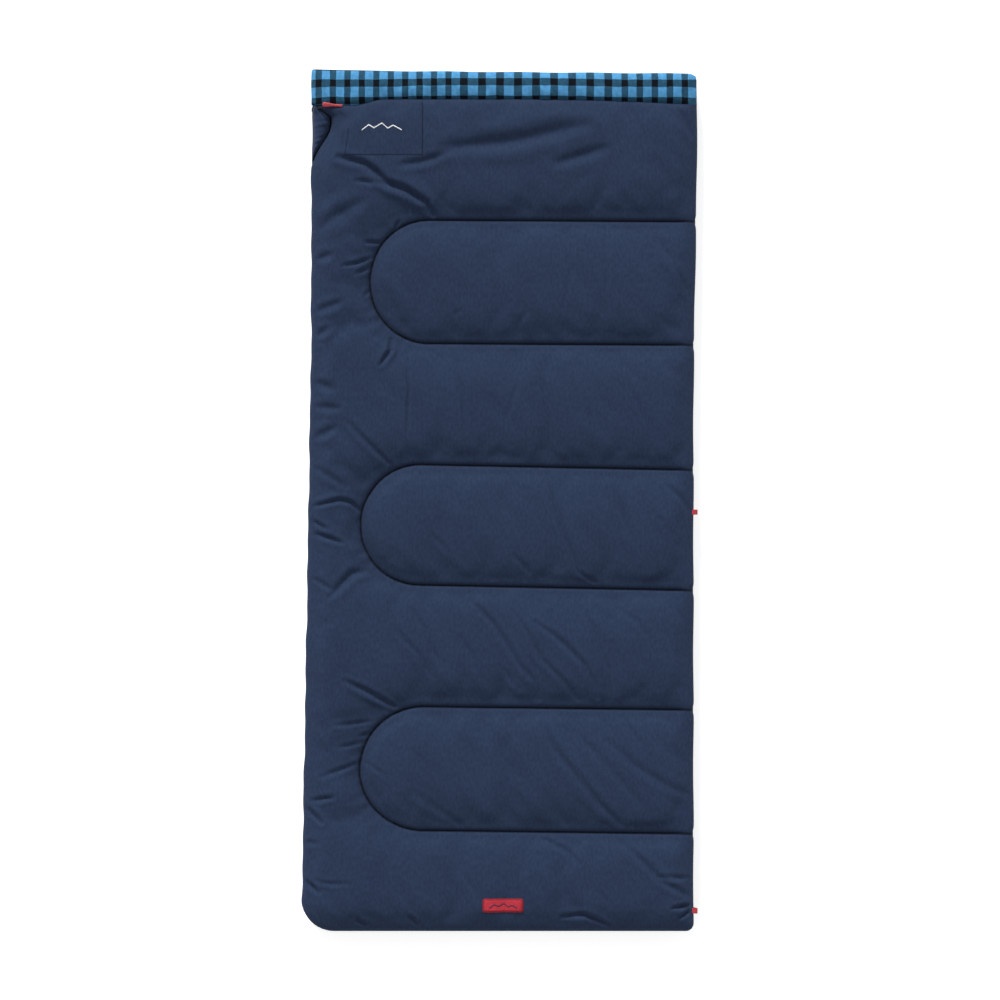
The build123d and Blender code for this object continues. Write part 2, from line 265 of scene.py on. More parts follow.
def shell_cotton():
    """Navy cotton: fine weave, short slubs and slightly faded patches, with painted shade along the quilting
    lines and the pocket's stitching.
    """
    material, tree, shader = new_material("shell_cotton", 0.90)
    place = node(tree, "ShaderNodeUVMap", uv_map="cloth").outputs[0]
    streak = noise(tree, place, 110.0, 4.0, stretch=(1.6, 0.8, 1.0))
    patch = noise(tree, place, 9.0, 4.0)
    speck = noise(tree, place, 520.0, 2.0)
    base = mix_colour(tree, spread(tree, streak, 0.25, 0.75), SHELL_DARK, SHELL_LIGHT)
    tone = spread(tree, patch, 0.3, 0.7, 0.95, 1.05)
    grain = spread(tree, speck, 0.3, 0.7, 0.88, 1.12)
    gap = seam_gap(tree, place)
    parts = node(tree, "ShaderNodeSeparateXYZ", {0: place}).outputs
    left, right, bottom = POCKET_LOW.x, POCKET_HIGH.x, POCKET_FOOT
    lines = ((0, bottom, left, right), (1, right, bottom, POCKET_TOP), (1, left, bottom, POCKET_SHORT))
    sewn = [line_gap(tree, parts, *line) for line in lines]
    pocket = calc(tree, "MINIMUM", sewn[0], calc(tree, "MINIMUM", sewn[1], sewn[2]))
    # painted shade: the cloth turns almost black within a few millimetres of each quilting line, where the
    # valley's shade falls
    shade = spread(tree, gap, 0.0006, 0.0042, 0.18, 1.0)
    # painted shade: darker along the pocket's lines of stitching, standing in for the shade in their groove
    shade = calc(tree, "MULTIPLY", shade, spread(tree, pocket, 0.0004, 0.0024, 0.45, 1.0))
    # painted shade: a broad, light darkening up to 20 mm either side of each quilting line
    wide = spread(tree, gap, 0.0, 0.020, 0.88, 1.0)
    # random tone and grain, times the painted shade at the quilting lines and the pocket's stitching
    both = calc(tree, "MULTIPLY", calc(tree, "MULTIPLY", tone, grain), calc(tree, "MULTIPLY", shade, wide))
    grey = node(tree, "ShaderNodeCombineColor", {0: both, 1: both, 2: both}).outputs[0]
    tree.links.new(mix_colour(tree, 1.0, base, grey, "MULTIPLY"), shader.inputs["Base Color"])
    shader.inputs["Sheen Weight"].default_value = 0.03
    shader.inputs["Sheen Roughness"].default_value = 0.5
    shader.inputs["Specular IOR Level"].default_value = 0.12
    weave = weave_height(tree, place, 1.1 * MM)
    slub = noise(tree, place, 380.0, 3.0, stretch=(1.0, 0.5, 1.0))
    crumple = noise(tree, place, 75.0, 4.0)
    first = bump(tree, shader, weave, 0.1 * MM, 0.5)
    second = bump(tree, shader, slub, 0.4 * MM, 0.5, under=first)
    bump(tree, shader, crumple, 1.6 * MM, 0.35, under=second)
    return material


def check_flannel():
    """Brushed flannel with a gingham check: light blue, black, and both yarns mixed between."""
    material, tree, shader = new_material("check_flannel", 0.95)
    place = node(tree, "ShaderNodeUVMap", uv_map="cloth").outputs[0]
    wobble = noise(tree, place, 40.0, 2.0)
    parts = node(tree, "ShaderNodeSeparateXYZ", {0: place}).outputs
    sway = spread(tree, wobble, 0.3, 0.7, -0.6 * MM, 0.6 * MM)
    bands = []
    for axis in (0, 1):
        phase = calc(tree, "FRACT", calc(tree, "DIVIDE", calc(tree, "ADD", parts[axis], sway), CHECK))
        from_middle = calc(tree, "ABSOLUTE", calc(tree, "SUBTRACT", phase, 0.5))
        ramp = calc(tree, "SUBTRACT", from_middle, CHECK_LIGHT_HALF)
        bands.append(spread(tree, ramp, -CHECK_BLUR, CHECK_BLUR))
    both_dark = calc(tree, "MULTIPLY", bands[0], bands[1])
    either = calc(tree, "MAXIMUM", bands[0], bands[1])
    mixed = calc(tree, "SUBTRACT", either, both_dark)
    twill = calc(tree, "ADD", parts[0], parts[1])
    hatch = calc(tree, "SINE", calc(tree, "MULTIPLY", twill, 2 * math.pi / (1.6 * MM)))
    fuzz = noise(tree, place, 500.0, 3.0)
    yarn = spread(tree, calc(tree, "ADD", calc(tree, "MULTIPLY", hatch, 0.5), fuzz), 0.0, 1.0, 0.0, 1.0)
    half = mix_colour(tree, yarn, CHECK_MIX_DARK, CHECK_MIX_LIGHT)
    colour = mix_colour(tree, mixed, CHECK_LIGHT, half)
    colour = mix_colour(tree, both_dark, colour, CHECK_BLACK)
    wear = spread(tree, noise(tree, place, 90.0, 4.0), 0.3, 0.7, 0.78, 1.12)
    grey = node(tree, "ShaderNodeCombineColor", {0: wear, 1: wear, 2: wear}).outputs[0]
    tree.links.new(mix_colour(tree, 1.0, colour, grey, "MULTIPLY"), shader.inputs["Base Color"])
    shader.inputs["Sheen Weight"].default_value = 0.02
    shader.inputs["Sheen Roughness"].default_value = 0.6
    shader.inputs["Specular IOR Level"].default_value = 0.08
    nap = noise(tree, place, 900.0, 4.0)
    first = bump(tree, shader, hatch, 0.15 * MM, 0.4)
    bump(tree, shader, nap, 0.8 * MM, 0.6, under=first)
    return material


def plain_cloth(name, dark, light, pitch, roughness=0.85):
    """Small woven parts: tape, webbing, thread and labels."""
    material, tree, shader = new_material(name, roughness)
    place = node(tree, "ShaderNodeTexCoord").outputs["Object"]
    weave = weave_height(tree, place, pitch)
    tone = noise(tree, place, 300.0, 3.0)
    blend = calc(tree, "ADD", calc(tree, "MULTIPLY", weave, 0.35), tone)
    tree.links.new(mix_colour(tree, spread(tree, blend, 0.1, 0.9), dark, light), shader.inputs["Base Color"])
    bump(tree, shader, weave, 0.2 * MM, 0.6)
    return material


def moulded(name, dark, light, roughness, metallic=0.0):
    """Moulded or cast small parts with a fine grain and slight wear."""
    material, tree, shader = new_material(name, roughness)
    place = node(tree, "ShaderNodeTexCoord").outputs["Object"]
    grain = noise(tree, place, 900.0, 3.0)
    wear = noise(tree, place, 120.0, 4.0)
    tree.links.new(mix_colour(tree, spread(tree, wear, 0.35, 0.7), dark, light), shader.inputs["Base Color"])
    rough = spread(tree, grain, 0.3, 0.7, roughness - 0.08, min(1.0, roughness + 0.1))
    tree.links.new(rough, shader.inputs["Roughness"])
    shader.inputs["Metallic"].default_value = metallic
    shader.inputs["Specular IOR Level"].default_value = 0.5
    bump(tree, shader, grain, 0.1 * MM, 0.4)
    return material


SHELL_DARK = (0.0150, 0.0262, 0.0575, 1)
SHELL_LIGHT = (0.0225, 0.0375, 0.0800, 1)
CHECK = 41.6 * MM          # one light and one dark stripe
CHECK_LIGHT_HALF = 0.28    # half of the light stripe, as a share of the check
CHECK_BLUR = 0.012
CHECK_LIGHT = (0.072, 0.262, 0.500, 1)
CHECK_MIX_DARK = (0.007, 0.029, 0.052, 1)
CHECK_MIX_LIGHT = (0.028, 0.108, 0.190, 1)
CHECK_BLACK = (0.0022, 0.0042, 0.0075, 1)

SHELL = shell_cotton()
FLANNEL = check_flannel()
THREAD = plain_cloth("navy_thread", (0.010, 0.018, 0.045, 1), (0.022, 0.036, 0.075, 1), 1.0 * MM)
TAPE = plain_cloth("zip_tape_cloth", (0.008, 0.010, 0.018, 1), (0.018, 0.024, 0.040, 1), 1.4 * MM)
COIL = moulded("zip_nylon", (0.008, 0.009, 0.012, 1), (0.020, 0.022, 0.028, 1), 0.45)
METAL = moulded("slider_paint", (0.012, 0.012, 0.014, 1), (0.035, 0.035, 0.040, 1), 0.4, 0.4)
RED_RUBBER = moulded("puller_rubber", (0.30, 0.020, 0.032, 1), (0.44, 0.045, 0.060, 1), 0.5)
RED_WEB = plain_cloth("red_webbing", (0.30, 0.025, 0.035, 1), (0.55, 0.060, 0.080, 1), 2.0 * MM)
LABEL_RED = plain_cloth("label_red", (0.40, 0.020, 0.035, 1), (0.58, 0.045, 0.070, 1), 0.8 * MM)
LABEL_EDGE = plain_cloth("label_edge", (0.22, 0.010, 0.018, 1), (0.36, 0.022, 0.034, 1), 1.6 * MM)
LABEL_WHITE = plain_cloth("label_white", (0.62, 0.62, 0.62, 1), (0.86, 0.86, 0.86, 1), 0.8 * MM)
PRINT = plain_cloth("print_white", (0.70, 0.71, 0.73, 1), (0.92, 0.92, 0.92, 1), 1.1 * MM)
PULL_WEB = plain_cloth("puller_web", (0.004, 0.005, 0.008, 1), (0.012, 0.013, 0.018, 1), 1.5 * MM)


# ---------------------------------------------------------------- outline of the bag
def left_edge(y):
    """Zip-side outline, which runs out a little towards the foot."""
    slope = -0.4345 - 0.0215 * np.clip((0.38 - y) / 1.26, 0, 1.1)
    return slope + 1.3 * MM * np.sin(y * 31.0) * np.sin(y * 9.0 + 1.0) + 0.6 * MM * np.sin(y * 83.0)


def right_edge(y):
    """Fold-side outline, pulled in slightly along the middle of the bag."""
    return 0.4475 + 0.0080 * smooth(y, 0.18, 0.85) + 0.8 * MM * np.sin(y * 24.0 + 0.7)


def head_edge(x):
    slope = 0.9945 - 0.0075 * np.clip((x + 0.43) / 0.88, 0, 1)
    return slope + 0.0022 * smooth(-x, 0.28, 0.40) + 0.6 * MM * np.sin(x * 37.0)


def cuff_seam(x):
    """Lower edge of the cuff: deeper at both sides than across the middle."""
    return 0.9250 - 0.0145 * smooth(-x, 0.26, 0.35) - 0.013 * np.clip(x / 0.45, 0, 1) ** 2


def bay_depth(y):
    """How far the front leaf is set back beside the head slider."""
    rise = smooth(y, 0.762, 0.875)
    return 0.046 * rise * (1.0 - 0.62 * smooth(y, 0.884, 0.909))


def beside_chain(y, bay):
    """1 where the leaf's zip edge runs along the chain, 0 where the front leaf is set back from it."""
    if not bay:
        return np.ones_like(y)
    return 1 - smooth(y, 0.72, 0.78) * (1 - smooth(y, 0.898, 0.914))


def zip_shift(y, bay):
    """Sideways move of the cloth's zip edge, from its reference line to its real one."""
    shift = left_edge(y) - LEFT
    if bay:
        shift = shift + bay_depth(y) * (y < SEAM_Y + 1e-6)
    to_chain = (CHAIN_X - 0.001) - (LEFT + ZIP_INSET) - (left_edge(y) - LEFT)
    return shift, to_chain * beside_chain(y, bay)


def corner(a, c, radius):
    """Distance from two edges that meet in a round corner."""
    round_part = radius - np.hypot(radius - a, radius - c)
    return np.where((a < radius) & (c < radius), round_part, np.minimum(a, c))


def edge_distance(x, y):
    """Distance inside the reference rectangle with its four corners."""
    a, b, c, e = x - LEFT, RIGHT - x, y - FOOT_Y, HEAD_Y - y
    low = np.minimum(corner(a, c, ZIP_CORNER), corner(b, c, SMALL_CORNER))
    high = np.minimum(corner(a, e, 0.006), corner(b, e, SMALL_CORNER))
    return np.minimum(low, high)


def edge_slope(x, y):
    """Direction in which the distance from the edge grows."""
    step = 0.5 * MM
    gx = (edge_distance(x + step, y) - edge_distance(x - step, y)) / (2 * step)
    gy = (edge_distance(x, y + step) - edge_distance(x, y - step)) / (2 * step)
    return gx, gy


def seam_distance(x, y):
    """Distance to the nearest quilted loop, distance along it, and whether the point is inside."""
    best = np.full_like(x, 9.0)
    along = np.zeros_like(x)
    inside = np.zeros_like(x, bool)
    for left, centre_y, radius, tilt in QUILT_LOOPS:
        centre_x = left + radius
        v = y - centre_y + tilt * np.maximum(x - centre_x, 0)
        u = x - centre_x
        reach = np.where(u < 0, np.hypot(u, v), np.abs(v))
        gap = np.abs(reach - radius)
        run = np.where(u < 0, np.arctan2(v, -u) * radius, np.sign(v) * (radius * math.pi / 2 + u))
        nearer = gap < best
        best = np.where(nearer, gap, best)
        along = np.where(nearer, run, along)
        inside |= reach < radius
    return best, along, inside


def pocket_gap(x, y):
    """Distance to the stitching that holds the pocket: its bottom, its fold side and part of its zip side."""
    left, right, bottom = POCKET_LOW.x, POCKET_HIGH.x, POCKET_FOOT
    under = np.hypot(np.maximum(np.maximum(left - x, x - right), 0), y - bottom)
    upright = np.hypot(x - right, np.maximum(np.maximum(bottom - y, y - POCKET_TOP), 0))
    short = np.hypot(x - left, np.maximum(np.maximum(bottom - y, y - POCKET_SHORT), 0))
    return np.minimum(under, np.minimum(upright, short))


# ---------------------------------------------------------------- relief of the quilted cloth
SEAM_DROP = 0.016
CREST = TOP + 0.004


def quilt_relief(x, y):
    """Height of the puffed cloth above the seam line, before wrinkles."""
    gap = seam_distance(x, y)[0]
    cuff_gap = np.abs(SEAM_Y - y)
    lip = 1 - np.exp(-gap / 0.0030)
    dome = 1 - (1 - np.clip(gap / 0.125, 0, 1)) ** 2
    height = SEAM_DROP * (0.45 * lip + 0.55 * dome)
    return height - 0.007 * np.exp(-cuff_gap / 0.006)


def soft_folds(x, y, seed):
    """Broad, slanting folds of loose cloth."""
    ridge = 1 - np.abs(ripple(x, y, 0.20, seed, 1.8, -0.9, 14))
    gap = seam_distance(x, y)[0]
    small = ripple(x, y, 0.055, seed + 1, 2.2, -0.9, 18) * smooth(gap, 0.0, 0.06)
    fine = ripple(x, y, 0.022, seed + 2, 2.6, -1.1, 20) * smooth(ripple(x, y, 0.16, seed + 3), -0.3, 0.9)
    return 1.8 * MM * ridge + 0.8 * MM * small + 0.35 * MM * fine


CREASE_GAIN = 1.5      # every crease is drawn this much deeper than its row says

# creases in the front cloth, each as depth, half width and then x, y along it, in millimetres
CREASES = (
    # head panel: the deep fold under the pocket and the broad ones across the bag
    (7, 8, -385, 790, -320, 775, -290, 755, -265, 730, -220, 715, -170, 685, -155, 655),
    (3, 5, -340, 735, -275, 730), (2, 4, -230, 710, -215, 690, -210, 660),
    (6, 15, -130, 810, 30, 825, 80, 835, 200, 860), (3, 8, -235, 770, -175, 780, -115, 800),
    (4, 12, 130, 775, 180, 790, 240, 810), (2, 12, 350, 790, 385, 750, 400, 710),
    (2, 7, 410, 900, 440, 835),
    # puckers and hollows beside the first loop
    (3, 4, -320, 595, -275, 593), (3, 4, -375, 540, -340, 545, -300, 560), (2, 4, -345, 520, -305, 535),
    (2, 4, -320, 470, -305, 485), (3, 14, -425, 630, -320, 690), (3, 8, -430, 555, -400, 565),
    (3, 8, -430, 435, -375, 455), (3, 8, -432, 380, -405, 395), (2, 4, -245, 625, -235, 645),
    (1.2, 5, -90, 590, -70, 505), (1.2, 5, 150, 625, 165, 535, 150, 455),
    (1.2, 5, 240, 625, 250, 535, 245, 480),
    (1.6, 6, 350, 620, 385, 565, 440, 470), (1.2, 5, 45, 405, 60, 435), (1.2, 5, -105, 425, -90, 440),
    # panel between the first and second loops
    (4, 5, -255, 370, -255, 345, -280, 310), (2.5, 4, -110, 345, -100, 300, -85, 240, -80, 160),
    (2, 4, -215, 340, -210, 255, -215, 145), (1.8, 5, 70, 330, 100, 260, 110, 200, 125, 135),
    (1.2, 5, 195, 305, 215, 170, 230, 105), (1.2, 5, 285, 285, 350, 170, 355, 100),
    (1.2, 5, 15, 190, 40, 270),
    (3, 8, -430, 215, -375, 210), (3, 6, -360, 185, -305, 130, -260, 85), (3, 9, -432, 270, -390, 255),
    (3, 9, -430, 145, -385, 165),
    # beside the second loop
    (4, 5, -435, -15, -375, 0, -350, -5, -325, -25), (4, 4, -438, -45, -403, -67),
    (4, 5, -430, -78, -390, -90, -365, -100),
    (3, 8, -392, -225, -340, -170, -305, -165), (2, 6, -432, -180, -390, -205), (2, 7, -430, 75, -360, 30),
    # inside the second loop
    (3, 5, 110, 70, 130, -25, 155, -100, 180, -165, 220, -190),
    (2.5, 5, 255, 60, 280, -15, 310, -95, 320, -140),
    (2, 6, 385, 35, 425, 0, 440, -30), (1.5, 5, -155, -80, -115, -125), (1.5, 5, -70, -85, -45, -140),
    (2, 5, 30, -125, 70, -170), (1.2, 5, 350, -20, 410, -90), (1.2, 5, -120, 60, -90, -25),
    # the long slanting folds that run into the third loop
    (1.6, 6, -260, -240, -240, -300, -190, -355, -155, -410),
    (2, 5, -205, -250, -175, -295, -155, -350, -130, -385),
    (1.6, 6, -90, -310, -60, -380, -35, -425), (1.6, 5, 0, -380, 45, -440),
    (3.5, 6, -70, -230, -20, -280, 15, -330, 45, -380, 80, -417, 90, -460),
    (2.5, 6, 30, -255, 65, -310, 95, -365, 140, -410, 180, -460),
    (3.5, 6, 80, -280, 140, -325, 195, -380, 217, -425, 225, -455),
    (2, 5, 180, -240, 215, -295, 225, -340, 255, -395, 263, -430),
    (1.3, 6, 270, -250, 325, -285, 350, -325),
    # beside and inside the third loop
    (4, 6, -355, -415, -305, -440, -240, -478), (2, 4, -385, -520, -290, -510),
    (2, 4, -320, -545, -295, -537),
    (2, 4, -370, -570, -315, -560), (2, 5, -407, -640, -320, -605), (3, 5, -425, -693, -375, -685),
    (5, 5, -445, -702, -403, -746), (1.5, 4, -315, -600, -260, -635),
    (3, 8, 97, -517, 130, -580, 180, -640, 230, -702, 280, -748),
    (1.6, 8, 170, -532, 230, -595, 295, -662, 330, -702),
    (1.6, 6, 285, -502, 330, -570), (2.2, 9, 250, -555, 310, -610, 385, -656, 440, -680),
    (1, 8, -205, -670, -90, -750),
    # foot panel
    (2.5, 6, 100, -783, 155, -810, 185, -840), (3, 7, 280, -787, 330, -833, 380, -880, 440, -914),
    (2.5, 5, 370, -867, 440, -873), (5, 4, 400, -939, 442, -935), (4, 4, 417, -964, 442, -948),
    (4, 5, 140, -960, 195, -956, 225, -968, 255, -984), (1, 6, -90, -856, -53, -902),
    (5, 5, -449, -870, -407, -906),
    (2, 4, -420, -875, -390, -883, -335, -883), (2, 5, -445, -787, -407, -794),
    (3, 5, -322, -968, -300, -984),
    (3, 5, -207, -958, -188, -984), (1.2, 5, 232, -902, 255, -933),
)


def creases(x, y):
    """Valleys with a soft ridge on both sides, fading out at both ends."""
    total = np.zeros_like(x)
    for depth, wide, *line in CREASES:
        points = np.array(line, float).reshape(-1, 2) * MM
        lengths = np.hypot(*np.diff(points, axis=0).T)
        near = 6 * wide * MM
        low, high = points.min(axis=0) - near, points.max(axis=0) + near
        chosen = (x > low[0]) & (x < high[0]) & (y > low[1]) & (y < high[1])
        px, py = x[chosen], y[chosen]
        best = np.full(px.shape, 9.0)
        place = np.zeros(px.shape)
        gone = 0.0
        for (ax, ay), (bx, by), long in zip(points, points[1:], lengths):
            t = np.clip(((px - ax) * (bx - ax) + (py - ay) * (by - ay)) / long**2, 0, 1)
            away = np.hypot(px - ax - (bx - ax) * t, py - ay - (by - ay) * t)
            nearer = away < best
            best = np.where(nearer, away, best)
            place = np.where(nearer, gone + t * long, place)
            gone += long
        share = place / gone
        fade = np.sqrt(np.clip(np.sin(math.pi * (0.04 + 0.92 * share)), 0, 1))
        half = wide * MM * (0.55 + 0.45 * fade)
        valley = -np.exp(-((best / half) ** 2)) + 0.38 * np.exp(-(((best - 2.1 * half) / (1.1 * half)) ** 2))
        total[chosen] += CREASE_GAIN * depth * MM * fade * valley
    return total


def puckers(x, y, seed):
    """Short gathers that run out square from the quilting, strongest outside the half circles."""
    gap, along, inside = seam_distance(x, y)
    round_end = smooth(0.26 - np.abs(along), 0.0, 0.10)
    strength = np.where(inside, 0.10, 0.13 + 1.05 * round_end)
    uneven = smooth(ripple(along, gap * 0 + seed, 0.075, seed + 4, 1.0, 0.0, 12), -0.8, 0.8)
    reach = 0.012 + 0.022 * uneven * round_end
    wave = ripple(along, gap * 0.35, 0.021, seed + 5, 1.0, 0.0, 16)
    size = 1.5 * MM * strength * (0.35 + 0.65 * uneven)
    return size * wave * np.exp(-gap / reach) * smooth(gap, 0.0005, 0.006)


# how the cloth turns in at each edge, as inset and height; RIM_REACH is how far in the turn ends
RIM_REACH = 0.034
RIMS = {
    "zip": bezier(
        (ZIP_INSET, LEAF_UNDER), (-0.012, LEAF_UNDER), (-0.010, TOP - 0.001), (RIM_REACH, TOP - 0.002)
    ),
    "fold": bezier(
        (FOLD_INSET, MIDDLE + 0.006), (-0.004, 0.056), (0.000, TOP - 0.001), (RIM_REACH, TOP - 0.002)
    ),
    "head": bezier(
        (0.028, LEAF_UNDER + 0.001), (-0.010, LEAF_UNDER), (-0.008, TOP), (RIM_REACH, TOP - 0.003)
    ),
}


def rim_extra(kind):
    return RIMS[kind][0][-1] - RIM_REACH


SIDE_WIDE = 0.30       # how far in from a side its outline still moves the cloth
BAY_WIDE = 0.115       # and the set-back beside the head slider


def edge_shift(x, y, py, bay, away, beside_zip):
    """Sideways move of every point of a leaf, to the bag's real outline; away is 0 at the zip edge."""
    side_fade = 1 - smooth(x - LEFT, 0.0, SIDE_WIDE)
    bay_fade = 1 - smooth(x - LEFT, 0.0, BAY_WIDE) if bay else 0.0
    outline, to_chain = zip_shift(py, False)
    shift = outline * side_fade
    if bay:
        shift = shift + bay_depth(py) * bay_fade * (y < SEAM_Y + 1e-6)
        to_chain = zip_shift(py, True)[1]
    corner_fade = smooth(py, FOOT_Y + 0.06, FOOT_Y + 0.11)
    shift = shift + to_chain * (1 - away) * side_fade * beside_zip * corner_fade
    return shift + (right_edge(py) - RIGHT) * (1 - smooth(RIGHT - x, 0.0, SIDE_WIDE))


def leaf_cloth(x, y, bay, seed):
    """Outer cloth of a leaf: plan position and height for points of the reference rectangle."""
    d = edge_distance(x, y)
    gx, gy = edge_slope(x, y)
    side = np.minimum(x - LEFT, y - FOOT_Y)
    fold = smooth(side - (RIGHT - x), -0.03, 0.03) * smooth((HEAD_Y - y) - (RIGHT - x), -0.02, 0.02)
    head = smooth(np.minimum(side, RIGHT - x) - (HEAD_Y - y), -0.01, 0.01)
    zipper = 1 - np.maximum(fold, head)
    total = fold + head + zipper
    inset = np.zeros_like(x)
    z = np.zeros_like(x)
    for kind, weight in (("zip", zipper), ("fold", fold), ("head", head)):
        run, ins, height = RIMS[kind]
        s = np.maximum(d + rim_extra(kind), 0)
        over = np.maximum(s - run[-1], 0)
        inset += weight / total * (np.interp(s, run, ins) + over)
        z += weight / total * np.interp(s, run, height)
    px = x + gx * (inset - d)
    py = y + gy * (inset - d)
    inner = smooth(d, -0.004, 0.055)
    gap = seam_distance(x, y)[0]
    relief = quilt_relief(x, y) + soft_folds(x, y, seed) * smooth(gap, 0.0, 0.03)
    below_cuff = 1 - smooth(y, SEAM_Y - 0.012, SEAM_Y - 0.002)
    relief = relief + below_cuff * puckers(x, y, seed)
    if bay:
        relief = relief - 1.3 * MM * np.exp(-((pocket_gap(x, y) / 0.0022) ** 2))
        z = z + smooth(d, -0.004, 0.018) * below_cuff * creases(x, y) * smooth(gap, 0.0, 0.006)
    z = z + inner * (CREST - SEAM_DROP + relief - (TOP - 0.002))
    notch = 3.0 * MM * np.exp(-((gap / 0.010) ** 2)) * (1 - smooth(RIGHT - x, 0.0, 0.03))
    px -= notch
    px = px + edge_shift(x, y, py, bay, smooth(d + rim_extra("zip"), 0.0, 0.028), zipper > 0.5)
    head_fade = smooth(y, SEAM_Y, HEAD_Y)
    py = py + (head_edge(px) - HEAD_Y) * head_fade
    seam_fade = smooth(y, SEAM_Y - 0.10, SEAM_Y) * (1 - head_fade)
    py = py + (cuff_seam(px) - SEAM_Y) * seam_fade
    return np.stack([px, py, z], axis=-1)


SIM_STEP = 0.0075
SIM_FRAMES = 22
SIM_GROWTH = 0.022     # spare cloth, as a share of its length
SIM_LIMIT = 0.009      # furthest that a point may move
PUFF_TOP = 0.0815      # puffs are eased down above this height
PUFF_ROOM = 0.0045     # and stand at most this much higher


def eased(field):
    """Each row of a field, averaged lightly with the rows beside it."""
    padded = np.concatenate([field[:1], field, field[-1:]])
    return 0.25 * padded[:-2] + 0.5 * padded[1:-1] + 0.25 * padded[2:]


def simulate_puff():
    """Puffs the spare cloth between the sewn seams, and returns how far each point of a flat grid moved."""
    xs, ys = graded((LEFT, RIGHT, SIM_STEP)), graded((FOOT_Y, HEAD_Y, SIM_STEP))
    x, y = np.meshgrid(xs, ys)
    start = leaf_cloth(x, y, True, 11)
    slant = ripple(x, y, 0.030, 5, 3.0, -0.95, 24) + 0.6 * ripple(x, y, 0.020, 6, 1.6, 0.3, 24)
    gap = seam_distance(x, y)[0]
    inner = smooth(edge_distance(x, y), 0.010, 0.040) * smooth(gap, 0.004, 0.014)
    nudged = start.copy()
    nudged[..., 2] += 0.8 * MM * slant * inner
    cloth_piece = add_piece("puff_trial", nudged, grid_faces(*x.shape), SHELL)
    held = np.maximum(1 - smooth(gap, 0.003, 0.0075), 1 - smooth(edge_distance(x, y), 0.004, 0.022))
    held = np.maximum(held, 1 - smooth(np.abs(y - SEAM_Y), 0.003, 0.008)).ravel()
    group = cloth_piece.vertex_groups.new(name="held")
    for level in range(1, 11):
        chosen = np.flatnonzero(np.round(held * 10) == level)
        group.add(chosen.tolist(), level / 10, "REPLACE")
    cloth = cloth_piece.modifiers.new("cloth", "CLOTH")
    settings = cloth.settings
    settings.vertex_group_mass = "held"
    settings.quality = 6
    settings.mass = 0.15
    settings.air_damping = 4.0
    settings.tension_stiffness = 12.0
    settings.compression_stiffness = 12.0
    settings.shear_stiffness = 6.0
    settings.bending_stiffness = 0.06
    settings.shrink_min = -SIM_GROWTH
    settings.use_pressure = True
    settings.uniform_pressure_force = 1.2
    settings.effector_weights.gravity = 0.0
    cloth.point_cache.frame_start = 1
    cloth.point_cache.frame_end = SIM_FRAMES
    scene = bpy.context.scene
    for frame_number in range(1, SIM_FRAMES + 1):
        scene.frame_set(frame_number)
    mesh = cloth_piece.evaluated_get(bpy.context.evaluated_depsgraph_get()).to_mesh()
    moved = np.empty(len(mesh.vertices) * 3)
    mesh.vertices.foreach_get("co", moved)
    moved = moved.reshape(start.shape) - start
    trial = cloth_piece.data
    bpy.data.objects.remove(cloth_piece)
    bpy.data.meshes.remove(trial)
    scene.frame_set(1)
    for _ in range(2):
        moved = eased(eased(moved).swapaxes(0, 1)).swapaxes(0, 1)
    length = np.linalg.norm(moved, axis=-1, keepdims=True)
    return xs, ys, moved * (SIM_LIMIT * np.tanh(length / SIM_LIMIT) / np.maximum(length, 1e-9))


def cubic_weights(t):
    return (
        -0.5 * t + t**2 - 0.5 * t**3,
        1 - 2.5 * t**2 + 1.5 * t**3,
        0.5 * t + 2 * t**2 - 1.5 * t**3,
        -0.5 * t**2 + 0.5 * t**3,
    )


def under_top(z):
    """Heights with the tallest puffs eased down towards the most that the leaf may stand."""
    over = np.maximum(z - PUFF_TOP, 0)
    return np.minimum(z, PUFF_TOP) + PUFF_ROOM * np.tanh(over / PUFF_ROOM)


def puff_at(x, y):
    """Simulated movement at any point of the reference rectangle."""
    xs, ys, moved = PUFF
    column = np.clip((x - xs[0]) / (xs[1] - xs[0]), 0, len(xs) - 1.001)
    row = np.clip((y - ys[0]) / (ys[1] - ys[0]), 0, len(ys) - 1.001)
    c0, r0 = column.astype(int), row.astype(int)
    total = np.zeros(x.shape + (3,))
    for i, wr in enumerate(cubic_weights(row - r0)):
        rows = np.clip(r0 + i - 1, 0, len(ys) - 1)
        for j, wc in enumerate(cubic_weights(column - c0)):
            columns = np.clip(c0 + j - 1, 0, len(xs) - 1)
            total += (wr * wc)[..., None] * moved[rows, columns]
    gap = seam_distance(x, y)[0]
    mask = smooth(edge_distance(x, y), 0.004, 0.045) * smooth(gap, 0.002, 0.036)
    mask = mask * smooth(np.abs(y - SEAM_Y), 0.001, 0.009)
    return total * mask[..., None]


def reference_grid(fine):
    """Coordinates of the cloth grid, closest together where the quilting turns."""
    left = LEFT - rim_extra("zip")
    right = RIGHT + rim_extra("fold")
    foot = FOOT_Y - rim_extra("zip")
    head = HEAD_Y + rim_extra("head")
    if fine:
        xs = graded(
            (left, LEFT, 0.0045), (LEFT, -0.385, 0.0045), (-0.385, -0.150, 0.0037), (-0.150, right, 0.0050)
        )
        spans = []
        y = foot
        for line in (-0.765, -0.478, -0.199, 0.081, 0.363, 0.647):
            spans += [(y, line - 0.02, 0.0048), (line - 0.02, line + 0.02, 0.0026)]
            y = line + 0.02
        ys = graded(*spans, (y, SEAM_Y, 0.0048), (SEAM_Y, head, 0.0042))
    else:
        xs = graded((left, right, 0.010))
        ys = graded((foot, SEAM_Y, 0.010), (SEAM_Y, head, 0.008))
    return np.meshgrid(xs, ys)


GATHERS = ((-0.095, 0.25), (0.27, 0.20))    # where the cuff's gathers start, and the share of cloth they add


